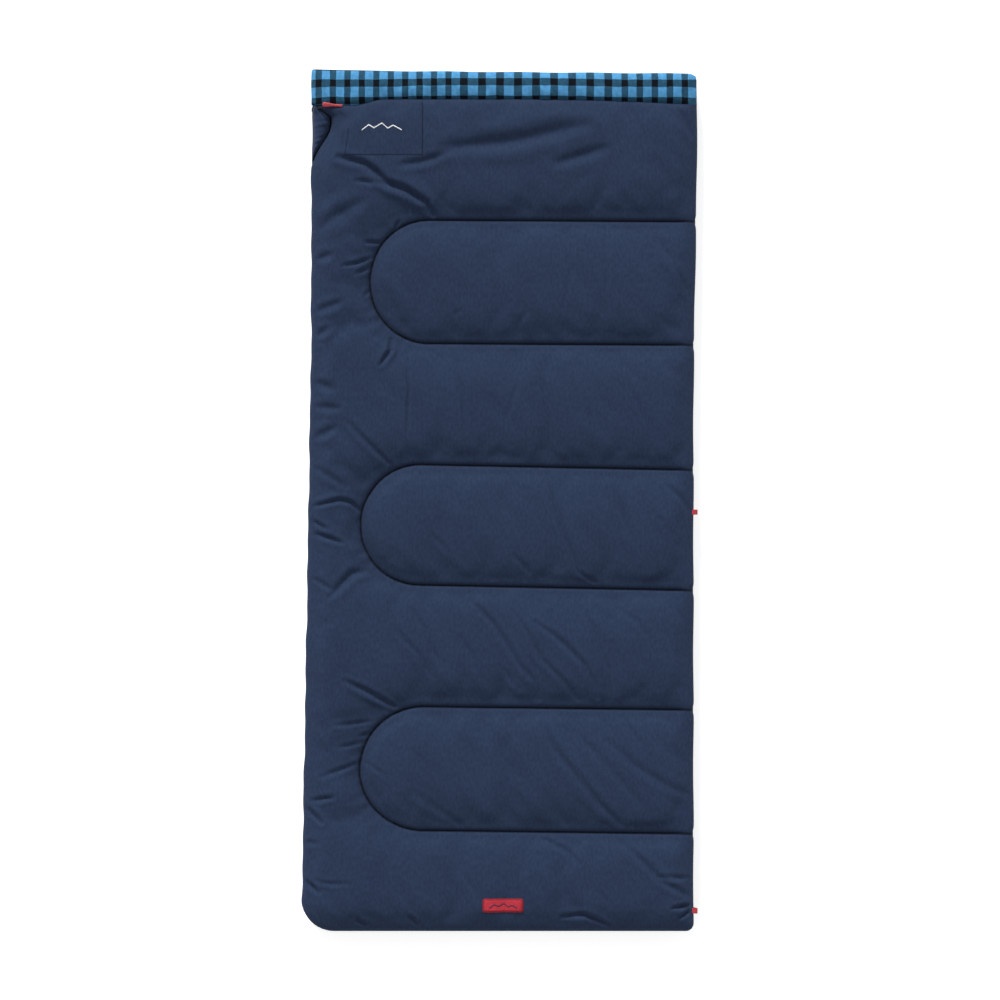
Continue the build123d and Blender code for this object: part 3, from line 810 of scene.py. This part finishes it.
def cuff_uv(points):
    """Flat coordinates of the cuff's cloth, gathered a little towards both ends."""
    x, y = points[..., 0], points[..., 1]
    (left, more_left), (right, more_right) = GATHERS
    gathered = more_left * np.minimum(x - left, 0) + more_right * np.maximum(x - right, 0)
    steps = np.linalg.norm(np.diff(points, axis=0), axis=-1)
    run = np.concatenate([np.zeros((1, x.shape[1])), np.cumsum(steps, axis=0)])
    zero = np.empty(x.shape[1])
    for column in range(x.shape[1]):
        top = int(np.argmax(y[:, column])) + 1
        line = 0.9645 - 0.0035 * float(smooth(abs(x[0, column]), 0.10, 0.30))
        zero[column] = np.interp(line, y[:top, column], run[:top, column])
    return np.stack([x + gathered, run - zero], axis=-1)


def rows_piece(name, points, uv, rows, material, body, flip=False):
    """One piece from a run of the cloth grid's rows."""
    part = points[rows]
    quads = drop_flat(part, grid_faces(part.shape[0], part.shape[1], flip))
    piece = add_piece(name, part, quads, material, uv[rows], body)
    clean = bmesh.new()
    clean.from_mesh(piece.data)
    loose = [v for v in clean.verts if not v.link_faces]
    bmesh.ops.delete(clean, geom=loose, context="VERTS")
    clean.to_mesh(piece.data)
    clean.free()
    return piece


PUFF = simulate_puff()


def make_leaf(side, x, y, points):
    """Shell and cuff of one leaf, from the points of its cloth grid."""
    uv = np.stack([x, y], axis=-1)
    body, flip = f"{side}_leaf", side == "back"
    seam_row = int(np.argmin(np.abs(y[:, 0] - SEAM_Y)))
    shell = rows_piece(f"{side}_quilted_shell", points, uv, slice(0, seam_row + 1), SHELL, body, flip)
    uv[seam_row:] = cuff_uv(points[seam_row:])
    cuff = rows_piece(f"{side}_flannel_cuff", points, uv, slice(seam_row, None), FLANNEL, body, flip)
    return shell, cuff


def make_front():
    x, y = reference_grid(True)
    points = leaf_cloth(x, y, True, 11) + puff_at(x, y)
    points[..., 2] = under_top(points[..., 2])
    shell, cuff = make_leaf("front", x, y, points)
    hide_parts("front_shell", "front_fill")
    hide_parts("front_cuff")
    return shell


def make_back():
    """The back leaf: the same cloth turned over, with the floor as its lowest height."""
    x, y = reference_grid(False)
    points = leaf_cloth(x, y, False, 41) + 0.5 * puff_at(x, y)
    points[..., 2] = np.maximum(TOP - points[..., 2], 0.2 * MM)
    shell, cuff = make_leaf("back", x, y, points)
    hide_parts("back_shell", "back_fill", "back_quilting")
    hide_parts("back_cuff")


# ---------------------------------------------------------------- laying things on the cloth
def surface_of(piece):
    mesh = piece.data
    return BVHTree.FromPolygons([v.co for v in mesh.vertices], [p.vertices for p in mesh.polygons])


def height_on(surface, x, y, fallback=TOP):
    hit = surface.ray_cast(Vector((x, y, 1.0)), Vector((0, 0, -1)))
    return hit[0].z if hit[0] is not None else fallback


def rounded_outline(width, height, radius, count=12):
    """Outline of a rounded rectangle about its centre."""
    points = []
    for turn, (sx, sy) in enumerate(((1, 1), (-1, 1), (-1, -1), (1, -1))):
        for k in range(count):
            angle = (turn + k / (count - 1)) * math.pi / 2
            px = sx * (width / 2 - radius) + radius * math.cos(angle)
            py = sy * (height / 2 - radius) + radius * math.sin(angle)
            points.append((px, py))
    dense = []
    for (ax, ay), (bx, by) in zip(points, points[1:] + points[:1]):
        steps = max(1, int(math.hypot(bx - ax, by - ay) / 0.004))
        dense += [(ax + (bx - ax) * k / steps, ay + (by - ay) * k / steps) for k in range(steps)]
    return dense


def laid_patch(name, surface, centre, outline, lift, thick, material, body, rings=6):
    """Thin patch that lies on a surface, with a side wall of its own."""
    count = len(outline)
    points = [(centre[0], centre[1], height_on(surface, *centre) + lift)]
    for ring in range(1, rings + 1):
        t = ring / rings
        for px, py in outline:
            x, y = centre[0] + px * t, centre[1] + py * t
            points.append((x, y, height_on(surface, x, y) + lift))
    edge = points[-count:]
    points += [(x, y, z - thick) for x, y, z in edge]
    faces = [[0, 1 + k, 1 + (k + 1) % count] for k in range(count)]
    for ring in range(rings):
        first, second = 1 + ring * count, 1 + (ring + 1) * count
        for k in range(count):
            n = (k + 1) % count
            faces.append([first + k, second + k, second + n, first + n])
    return add_mixed(name, points, faces, material, body)


def add_mixed(name, points, faces, material, body):
    """Smooth mesh object with faces of any number of sides, mapped from above."""
    mesh = bpy.data.meshes.new(name)
    mesh.from_pydata([tuple(p) for p in points], [], faces)
    mesh.polygons.foreach_set("use_smooth", [True] * len(mesh.polygons))
    layer = mesh.uv_layers.new(name="cloth")
    for loop in mesh.loops:
        layer.data[loop.index].uv = mesh.vertices[loop.vertex_index].co.xy
    mesh.materials.append(material)
    piece = bpy.data.objects.new(name, mesh)
    bpy.context.scene.collection.objects.link(piece)
    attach(piece, body)
    return piece


def tube(name, path, radii, material, body, sides=10):
    """Closed tube along a path; radii is one radius, or one for each point."""
    path = np.asarray(path, float)
    radii = np.broadcast_to(radii, len(path))
    tangent = np.gradient(path, axis=0)
    tangent /= np.linalg.norm(tangent, axis=1)[:, None] + 1e-12
    up = np.array([0.0, 0.0, 1.0])
    side = np.cross(tangent, up)
    weak = np.linalg.norm(side, axis=1) < 1e-3
    side[weak] = (0, 1, 0)
    side /= np.linalg.norm(side, axis=1)[:, None]
    over = np.cross(side, tangent)
    angles = np.linspace(0, 2 * math.pi, sides, endpoint=False)
    ring = side[:, None] * np.cos(angles)[None, :, None] + over[:, None] * np.sin(angles)[None, :, None]
    points = path[:, None] + ring * radii[:, None, None]
    count = len(path)
    index = np.arange(count * sides).reshape(count, sides)
    after = np.roll(index, -1, axis=1)
    quads = np.stack([index[:-1], after[:-1], after[1:], index[1:]], axis=-1).reshape(-1, 4)
    faces = quads.tolist() + [index[0].tolist(), index[-1][::-1].tolist()]
    return add_mixed(name, points.reshape(-1, 3), faces, material, body)


def stitches(name, runs, surface, material, body, pitch=0.0046, length=0.0034, radius=0.00045):
    """Row of sewn stitches along each run of (x, y) points, lying on a surface."""
    points, faces = [], []
    for run in runs:
        run = np.asarray(run, float)
        gone = run_along(run)
        for start in np.arange(0.5 * pitch, gone[-1] - length, pitch):
            ends = []
            for at in (start, start + length / 2, start + length):
                x, y = np.interp(at, gone, run[:, 0]), np.interp(at, gone, run[:, 1])
                ends.append(Vector((x, y, height_on(surface, x, y))))
            along = (ends[2] - ends[0]).normalized()
            side = along.cross(Vector((0, 0, 1))).normalized() * radius
            first = len(points)
            for place, size, lift in ((0, 0.35, 0.0), (1, 1.0, 1.0), (2, 0.35, 0.0)):
                for turn in range(5):
                    angle = turn * 2 * math.pi / 5
                    offset = side * math.cos(angle) * size
                    rise = Vector((0, 0, radius * (math.sin(angle) * size + lift)))
                    points.append(ends[place] + offset + rise)
            for ring in range(2):
                for turn in range(5):
                    a0 = first + ring * 5 + turn
                    a1 = first + ring * 5 + (turn + 1) % 5
                    faces.append([a0, a1, a1 + 5, a0 + 5])
            faces.append([first + k for k in range(5)][::-1])
            faces.append([first + 10 + k for k in range(5)])
    return add_mixed(name, points, faces, material, body)


# ---------------------------------------------------------------- linings
def lining_surface(bay, seed):
    """Inner cloth of a leaf, as plan position and height for the front leaf."""
    left, right = LEFT + ZIP_INSET, RIGHT - FOLD_INSET
    foot, head = FOOT_Y + ZIP_INSET, HEAD_Y - 0.028
    x, y = np.meshgrid(graded((left, right, 0.009)), graded((foot, head, 0.009)))
    d = edge_distance(x, y)
    gx, gy = edge_slope(x, y)
    in_corner = (x - LEFT < ZIP_CORNER) & (y - FOOT_Y < ZIP_CORNER)
    push = np.where(in_corner, np.maximum(ZIP_INSET - d, 0), 0)
    px, py = x + gx * push, y + gy * push
    from_zip = np.minimum(np.minimum(x - left, y - foot), np.maximum(d - ZIP_INSET, 0))
    beside = (x - LEFT) < np.minimum(y - FOOT_Y, RIGHT - x)
    px = px + edge_shift(x, y, py, bay, smooth(x - left, 0.0, 0.03), beside)
    gap = seam_distance(x, y)[0]
    inner = smooth(np.minimum(from_zip, np.minimum(right - x, head - y)), 0.0, 0.05)
    puff = 1 - np.exp(-gap / 0.010)
    z = LEAF_UNDER + 0.0005 - inner * (0.0035 * puff + 0.0006 * ripple(x, y, 0.07, seed))
    z = z - (LEAF_UNDER - MIDDLE - 0.0055) * (1 - smooth(right - x, 0.0, 0.02))
    return px, py, z, np.stack([x, y], axis=-1)


def make_lining(side, bay, seed):
    px, py, z, uv = lining_surface(bay, seed)
    if side == "back":
        z = TOP - z
    points = np.stack([px, py, z], axis=-1)
    quads = drop_flat(points, grid_faces(*px.shape, flip=side == "front"))
    piece = add_piece(f"{side}_flannel_lining", points, quads, FLANNEL, uv, f"{side}_leaf")
    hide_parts(f"{side}_lining")
    return piece


# ---------------------------------------------------------------- closed fold
def fold_strip(name, low_y, high_y, inset, bulge, material):
    """Cloth that runs round the fold, from the back leaf's edge to the front leaf's."""
    ys = graded((low_y, high_y, 0.008))
    ts = np.linspace(0, 1, 9)
    y, t = np.meshgrid(ys, ts)
    half = 0.0063
    x = right_edge(y) - inset + bulge * np.sin(math.pi * t)
    z = MIDDLE - half + 2 * half * t
    run = (t - 0.5) * 0.02
    points, uv = np.stack([x, y, z], axis=-1), np.stack([run, y], axis=-1)
    piece = add_piece(name, points, grid_faces(*x.shape), material, uv)
    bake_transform(piece)
    return piece


def make_fold():
    seam = 0.912
    shell = fold_strip("fold_shell_web", FOOT_Y + 0.016, seam, FOLD_INSET, 0.0016, SHELL)
    cuff = fold_strip("fold_cuff_web", seam, HEAD_Y - 0.012, FOLD_INSET, 0.0016, FLANNEL)
    under = FOLD_INSET + 0.003
    lining = fold_strip("fold_lining_web", FOOT_Y + 0.024, HEAD_Y - 0.028, under, 0.0012, FLANNEL)
    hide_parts("front_fold_web", "back_fold_web")


# ---------------------------------------------------------------- zip
def chain_path(head_y, end_x, step, inward=0.0):
    """Line of the zip, down the side, round the corner and along the foot."""
    radius = 0.045 - inward
    x, y = CHAIN_X + inward, CHAIN_Y + inward
    points = [(x, v) for v in graded((head_y, y + radius, step))]
    turns = max(6, int(radius * math.pi / 2 / step))
    for k in range(1, turns + 1):
        angle = math.pi + k / turns * math.pi / 2
        points.append((x + radius + radius * math.cos(angle), y + radius + radius * math.sin(angle)))
    points += [(v, y) for v in graded((x + radius, end_x, step))[1:]]
    return np.array(points)


def make_zip_tape(side):
    """Zip tape, from the coil to the leaf's edge and on between shell and lining, where it is sewn in."""
    up = 1 if side == "front" else -1
    path = chain_path(0.930, TAPE_HIGH.x, 0.006)
    on_side = path[:, 0] < CHAIN_X + 1e-6
    top_x = path[:, 0].copy()
    if side == "front":
        outline, to_chain = zip_shift(path[:, 1], True)
        cloth = LEFT + ZIP_INSET + outline + to_chain
        top_x = np.where(on_side, np.maximum(cloth, CHAIN_X), path[:, 0])
    inner = chain_path(0.930, TAPE_HIGH.x, 0.006, TAPE_SEAM)
    turn = np.linspace(0, 1, len(path))
    inner_turn = np.linspace(0, 1, len(inner))
    into = np.column_stack([np.interp(turn, inner_turn, inner[:, k]) for k in (0, 1)]) - path
    edge_z = LEAF_UNDER + 0.0006
    xs, ys, zs = [], [], []
    for t in np.linspace(0, 1, 5):
        xs.append(path[:, 0] * (1 - t) + top_x * t)
        ys.append(path[:, 1])
        zs.append(np.full(len(path), MIDDLE + up * (0.0012 + (edge_z - MIDDLE - 0.0012) * t)))
    for t in (0.34, 0.67, 1.0):
        xs.append(top_x + into[:, 0] * t)
        ys.append(path[:, 1] + into[:, 1] * t)
        zs.append(np.full(len(path), MIDDLE + up * (edge_z - MIDDLE + 0.0010 * t)))
    x, y, z = np.array(xs), np.array(ys), np.array(zs)
    points = np.stack([x, y, z], axis=-1)
    faces = grid_faces(*x.shape)
    piece = add_piece(f"{side}_zip_cloth", points, faces, TAPE, points[..., 1:], f"{side}_leaf")
    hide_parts(f"{side}_zip_tape")
    thicken(piece, 0.0007, 0.0)


def make_coil(side):
    up = 1 if side == "front" else -1
    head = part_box(f"{side}_zip_coil")[1].y
    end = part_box(f"{side}_zip_coil")[1].x
    path = chain_path(head, end, 0.00085)
    gone = run_along(path)
    phase = 0.0 if up > 0 else math.pi
    swell = 1 + 0.15 * np.sin(2 * math.pi * gone / 0.0030 + phase)
    line = np.column_stack([path, np.full(len(path), MIDDLE + up * 0.00190)])
    piece = tube(f"{side}_coil_nylon", line, 0.00108 * swell, COIL, f"{side}_leaf", sides=6)
    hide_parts(f"{side}_zip_coil")


def colour_hardware():
    """Looks of the hard parts that are shown as they are in the frame."""
    metal = ("head_slider_body", "foot_slider_body", "foot_pull_tab")
    metal += ("front_zip_top_stop", "back_zip_top_stop")
    for names, material in ((metal, METAL), (("zip_insertion_pin", "zip_retainer_box"), COIL)):
        for name in names:
            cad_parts[name].data.materials.clear()
            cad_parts[name].data.materials.append(material)


GRIP_Y = 0.912
STRAP_Y = 0.9055


def round_off(run, radius):
    """Share of the full width at a distance from a rounded end."""
    return math.sqrt(1 - max(0.0, 1 - run / radius) ** 2)


def make_puller():
    """Moulded grip with a thick end and ribs, on a short webbing tab from the slider."""
    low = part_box("head_puller_grip")[0]
    tilt = math.radians(-4)
    length = 0.048
    start = Vector((low.x, GRIP_Y, low.z))
    points, faces = [], []
    stations, sides = 40, 20
    for k in range(stations + 1):
        t = k / stations
        end = round_off(t * length, 0.0055)
        tip = round_off((1 - t) * length, 0.003)
        wide = 0.0057 - 0.0027 * (smooth(np.float64(t), 0.12, 0.60))
        tall = 0.0030 - 0.0010 * (smooth(np.float64(t), 0.15, 0.7))
        rib = 1 + 0.05 * math.sin(t * 60) * (1 if 0.5 < t < 0.92 else 0)
        size = max(0.02, min(end, tip))
        for j in range(sides):
            angle = 2 * math.pi * j / sides
            cx, cy = math.cos(angle), math.sin(angle)
            py = wide * rib * size * math.copysign(abs(cx) ** 0.8, cx)
            pz = tall * rib * size * math.copysign(abs(cy) ** 0.8, cy)
            x = t * length
            points.append((start.x + x * math.cos(tilt) - py * math.sin(tilt),
                           start.y + x * math.sin(tilt) + py * math.cos(tilt),
                           start.z + 0.0026 + pz))
    for k in range(stations):
        for j in range(sides):
            n = (j + 1) % sides
            faces.append([k * sides + j, k * sides + n, (k + 1) * sides + n, (k + 1) * sides + j])
    faces.append(list(range(sides))[::-1])
    faces.append([stations * sides + j for j in range(sides)])
    grip = add_mixed("head_puller_moulding", points, faces, RED_RUBBER, "head_puller")
    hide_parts("head_puller_grip")
    route = bezier((-0.4328, 0.0434), (-0.4328, 0.051), (-0.4215, 0.0675), (-0.4065, 0.0735), 24)
    ts = np.linspace(-1, 1, 7)
    x = np.repeat(route[1][:, None], 7, axis=1)
    z = np.repeat(route[2][:, None], 7, axis=1)
    y = STRAP_Y + 0.0028 * ts[None, :] * np.ones_like(x)
    tab = add_piece("head_puller_webbing", np.stack([x, y, z], -1), grid_faces(*x.shape), PULL_WEB,
                    np.stack([x, y], -1), "head_puller")
    thicken(tab, 0.0016, 0.0)
    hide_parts("head_puller_tab")


def make_edge_roll():
    """Back leaf's edge, puffed up beside the slit where the front leaf is set back."""
    ys = graded((0.760, 0.915, 0.0022))
    ts = np.linspace(0, 1, 40)
    y, t = np.meshgrid(ys, ts)
    slit = LEFT + zip_shift(y, True)[0] - 0.0035
    outer = left_edge(y) + 0.0005
    width = np.maximum(slit - outer, 0.0008)
    size = smooth(y, 0.758, 0.80)
    folds = ripple(y, t * 0.02 - y * 0.6, 0.016, 71, 1.4, 0.5)
    folds = folds + 0.7 * ripple(y, t * 0.04, 0.034, 72, 1.2, 0.2)
    angle = math.pi * (1.10 - 1.25 * t)
    x = outer + width * 0.5 * (1 + np.cos(angle))
    rise = 0.010 + 0.014 * size
    z = 0.040 + rise * np.maximum(np.sin(angle), -0.5) + 0.9 * MM * folds * np.sin(math.pi * t)
    skirt = t < 0.06
    z = np.where(skirt, 0.030, z)
    points = np.stack([x, y, z], axis=-1)
    roll = add_piece("back_edge_roll", points, grid_faces(*x.shape), SHELL, points[..., :2], "back_leaf")


# ---------------------------------------------------------------- draft tube, pocket and labels
def make_draft_tube():
    low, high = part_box("draft_tube_shell")
    ys = graded((low.y, high.y, 0.012))
    sides = 18
    angles = np.linspace(0, 2 * math.pi, sides, endpoint=False)
    y, angle = np.meshgrid(ys, angles, indexing="ij")
    ends = np.minimum(smooth(y, low.y - 0.001, low.y + 0.02), 1 - smooth(y, high.y - 0.02, high.y + 0.001))
    swell = (0.6 + 0.4 * ends) * (1 + 0.05 * ripple(y, angle * 0.02, 0.06, 91))
    cx = (low.x + high.x) / 2 + 0.0015 * np.sin(y * 21.0)
    cz = (low.z + high.z) / 2 - 0.0008
    wide, tall = (high.x - low.x) / 2, (high.z - low.z) / 2 - 0.0012
    across, upward = np.cos(angle), np.sin(angle)
    x = cx + wide * swell * np.sign(across) * np.abs(across) ** 0.8
    z = cz + tall * swell * np.sign(upward) * np.abs(upward) ** 0.8
    points = np.stack([x, y, z], axis=-1)
    index = np.arange(y.size).reshape(y.shape)
    after = np.roll(index, -1, axis=1)
    quads = np.stack([index[:-1], index[1:], after[1:], after[:-1]], axis=-1).reshape(-1, 4).tolist()
    faces = quads + [index[0].tolist(), index[-1][::-1].tolist()]
    piece = add_mixed("draft_tube_flannel", points.reshape(-1, 3), faces, FLANNEL, "front_leaf")
    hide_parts("draft_tube_shell", "draft_tube_fill")


def make_pocket(lining):
    """Flannel patch pocket under the front lining, with a navy hem at its mouth."""
    surface = surface_of(lining)
    parts = (("pocket_panel", FLANNEL, "check_flannel"), ("pocket_hem", SHELL, "shell_cotton"))
    for name, material, slot in parts:
        low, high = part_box(name)
        xs, ys = graded((low.x, high.x, 0.005)), graded((low.y, high.y, 0.0035 if "hem" in name else 0.005))
        x, y = np.meshgrid(xs, ys)
        under = np.vectorize(lambda a, b: height_on(surface, a, b, LEAF_UNDER))(x, y)
        rim = np.minimum(np.minimum(x - low.x, high.x - x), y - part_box("pocket_panel")[0].y)
        lift = 0.0009 + 0.0016 * smooth(rim, 0.0, 0.03) + (0.0005 if "hem" in name else 0.0)
        points = np.stack([x, y, under - lift], axis=-1)
        piece = add_piece(f"{name}_cloth", points, grid_faces(*x.shape, flip=True), material,
                          np.stack([x + 0.011, y + 0.007], -1), "front_leaf")
        thicken(piece, 0.0007)
        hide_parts(name)


def make_care_label(lining):
    surface = surface_of(lining)
    low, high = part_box("care_label")
    centre = ((low.x + high.x) / 2, (low.y + high.y) / 2)
    outline = rounded_outline(high.x - low.x, high.y - low.y, 0.002)
    tag = laid_patch("care_label_blank", surface, centre, outline, 0.0008, 0.0006, LABEL_WHITE, "back_leaf")
    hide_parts("care_label")


def laid_ridge(name, surface, centre, points, thick, lift, material):
    """Flat zigzag ribbon that lies on a surface; thick is its upright width, the same everywhere."""
    points = np.asarray(points, float) * MM
    xs = graded((points[0, 0], points[-1, 0], 0.0010))
    top = np.interp(xs, points[:, 0], points[:, 1])
    t = np.linspace(0, 1, 4)[:, None]
    x = centre[0] + np.repeat(xs[None], 4, axis=0)
    y = centre[1] + top[None] - thick * (1 - t)
    z = np.vectorize(lambda a, b: height_on(surface, a, b))(x, y) + lift
    grid = np.stack([x, y, z], axis=-1)
    piece = add_piece(name, grid, grid_faces(*x.shape), material, grid[..., :2], "front_leaf")
    thicken(piece, 0.0003)
    return piece


def make_foot_label(surface):
    """Plain red woven label with an overlocked edge and a navy line of hills."""
    low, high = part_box("foot_label_base")
    centre = ((low.x + high.x) / 2, (low.y + high.y) / 2)
    layers = (
        ("foot_label_edge", (high.x - low.x, high.y - low.y, 0.005), 0.0012, LABEL_EDGE, "foot_label_base"),
        ("foot_label_weave", (0.086, 0.024, 0.003), 0.0018, LABEL_RED, "foot_label_field"),
    )
    for name, (wide, tall, radius), lift, material, replaced in layers:
        outline = rounded_outline(wide, tall, radius)
        piece = laid_patch(name, surface, centre, outline, lift, 0.0011, material, "front_leaf", 8)
        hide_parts(replaced)
    hills = laid_ridge("foot_label_hills", surface, centre, LABEL_RIDGE, 0.0024, 0.0022, THREAD)
    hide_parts("foot_label_emblem")


def make_print(surface):
    """Plain decorative print near the head: one line of hills."""
    low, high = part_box("printed_mark")
    centre = ((low.x + high.x) / 2, 0.860)
    hills = laid_ridge("print_hills", surface, centre, PRINT_RIDGE, 0.0026, 0.0004, PRINT)
    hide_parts("printed_mark")


def make_hanging_tabs():
    for name, y, slant in (("hanging_tab_middle", -0.028, 0.0), ("hanging_tab_foot", -0.949, -0.10)):
        edge = float(right_edge(np.array(y)))
        outer = 0.4556
        tip = (outer, 0.0520)
        route = bezier((edge - 0.006, 0.0600), (edge + 0.004, 0.0610), (outer + 0.001, 0.0570), tip, 14)
        back = bezier(tip, (outer - 0.001, 0.0480), (edge + 0.002, 0.0465), (edge - 0.004, 0.0470), 10)
        xs = np.concatenate([route[1], back[1][1:]])
        zs = np.concatenate([route[2], back[2][1:]])
        ts = np.linspace(-1, 1, 9)
        x = np.repeat(xs[:, None], 9, axis=1)
        z = np.repeat(zs[:, None], 9, axis=1)
        ys = y + 0.006 * ts[None, :] + slant * (x - edge)
        points = np.stack([x, ys, z], -1)
        faces = grid_faces(*x.shape)
        piece = add_piece(f"{name}_webbing", points, faces, RED_WEB, points[..., :2], "front_leaf")
        thicken(piece, 0.0012)
        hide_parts(name)


def make_stitching(surface):
    runs = []
    for left, centre_y, radius, tilt in QUILT_LOOPS:
        centre_x = left + radius
        line = []
        for side in (1, -1):
            xs = np.linspace(0.440, centre_x, 90)
            line.append([(x, centre_y + side * radius - tilt * (x - centre_x)) for x in xs])
        turn = [
            (centre_x - radius * math.sin(a), centre_y + radius * math.cos(a))
            for a in np.linspace(0, math.pi, 60)
        ]
        runs.append(line[0] + turn[1:-1] + line[1][::-1])
    quilting = stitches("front_quilt_stitches", runs, surface, THREAD, "front_leaf")
    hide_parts("front_quilting")
    left, right, bottom = POCKET_LOW.x, POCKET_HIGH.x, POCKET_FOOT
    lines = [
        [(right, bottom), (right, POCKET_TOP)],
        [(left, bottom + 0.001), (-0.30, bottom - 0.0015), (right, bottom)],
        [(left, bottom + 0.001), (left + 0.005, POCKET_SHORT)],
    ]
    pocket = stitches("pocket_outline_stitches", lines, surface, THREAD, "front_leaf", 0.0042, 0.0030, 0.0004)
    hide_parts("pocket_stitching")


front_shell = make_front()
make_back()
front_lining = make_lining("front", True, 51)
back_lining = make_lining("back", False, 61)
make_fold()
for each in ("front", "back"):
    make_zip_tape(each)
    make_coil(each)
colour_hardware()
make_puller()
make_edge_roll()
make_draft_tube()
make_pocket(front_lining)
make_care_label(back_lining)
top_surface = surface_of(front_shell)
make_foot_label(top_surface)
make_print(top_surface)
make_hanging_tabs()
make_stitching(top_surface)


# ---------------------------------------------------------------- floor, light and camera
SENSOR = 36            # mm
CAMERA_HEIGHT = 6.0    # above the level where the view is VIEW_WIDE across
VIEW_WIDE = 2.31
VIEW_LEVEL = 0.06
FLOOR_GREY = (0.92, 0.92, 0.92, 1)
FLOOR_GLOW = 0.55
SKY_STRENGTH = 0.42
# name, direction it shines from, angle in degrees, strength
LAMPS = (("key", (-0.30, 1.0, 0.50), 14, 4.2), ("fill", (0.8, -0.5, 1.6), 40, 0.5))


def make_stage():
    bpy.ops.mesh.primitive_plane_add(size=30, location=(0, 0, 0))
    floor = bpy.context.object
    floor.name = "studio_floor"
    material, _, shader = new_material("studio_floor", 0.9)
    shader.inputs["Base Color"].default_value = FLOOR_GREY
    shader.inputs["Emission Color"].default_value = (1, 1, 1, 1)
    shader.inputs["Emission Strength"].default_value = FLOOR_GLOW
    floor.data.materials.append(material)
    world = bpy.data.worlds.new("studio")
    bpy.context.scene.world = world
    world.use_nodes = True
    world.node_tree.nodes["Background"].inputs[0].default_value = (1, 1, 1, 1)
    world.node_tree.nodes["Background"].inputs[1].default_value = SKY_STRENGTH
    for name, from_where, angle, strength in LAMPS:
        lamp = bpy.data.lights.new(name, "SUN")
        lamp.angle = math.radians(angle)
        lamp.energy = strength
        holder = bpy.data.objects.new(name, lamp)
        holder.location = from_where
        holder.rotation_euler = (-Vector(from_where)).to_track_quat("-Z", "Y").to_euler()
        bpy.context.scene.collection.objects.link(holder)


def make_camera():
    camera = bpy.data.cameras.new("camera")
    camera.sensor_width = SENSOR
    camera.lens = SENSOR * CAMERA_HEIGHT / VIEW_WIDE
    holder = bpy.data.objects.new("camera", camera)
    holder.location = (0.0, 0.0, CAMERA_HEIGHT + VIEW_LEVEL)
    bpy.context.scene.collection.objects.link(holder)
    bpy.context.scene.camera = holder


make_stage()
make_camera()
bpy.context.scene.view_settings.view_transform = "Standard"
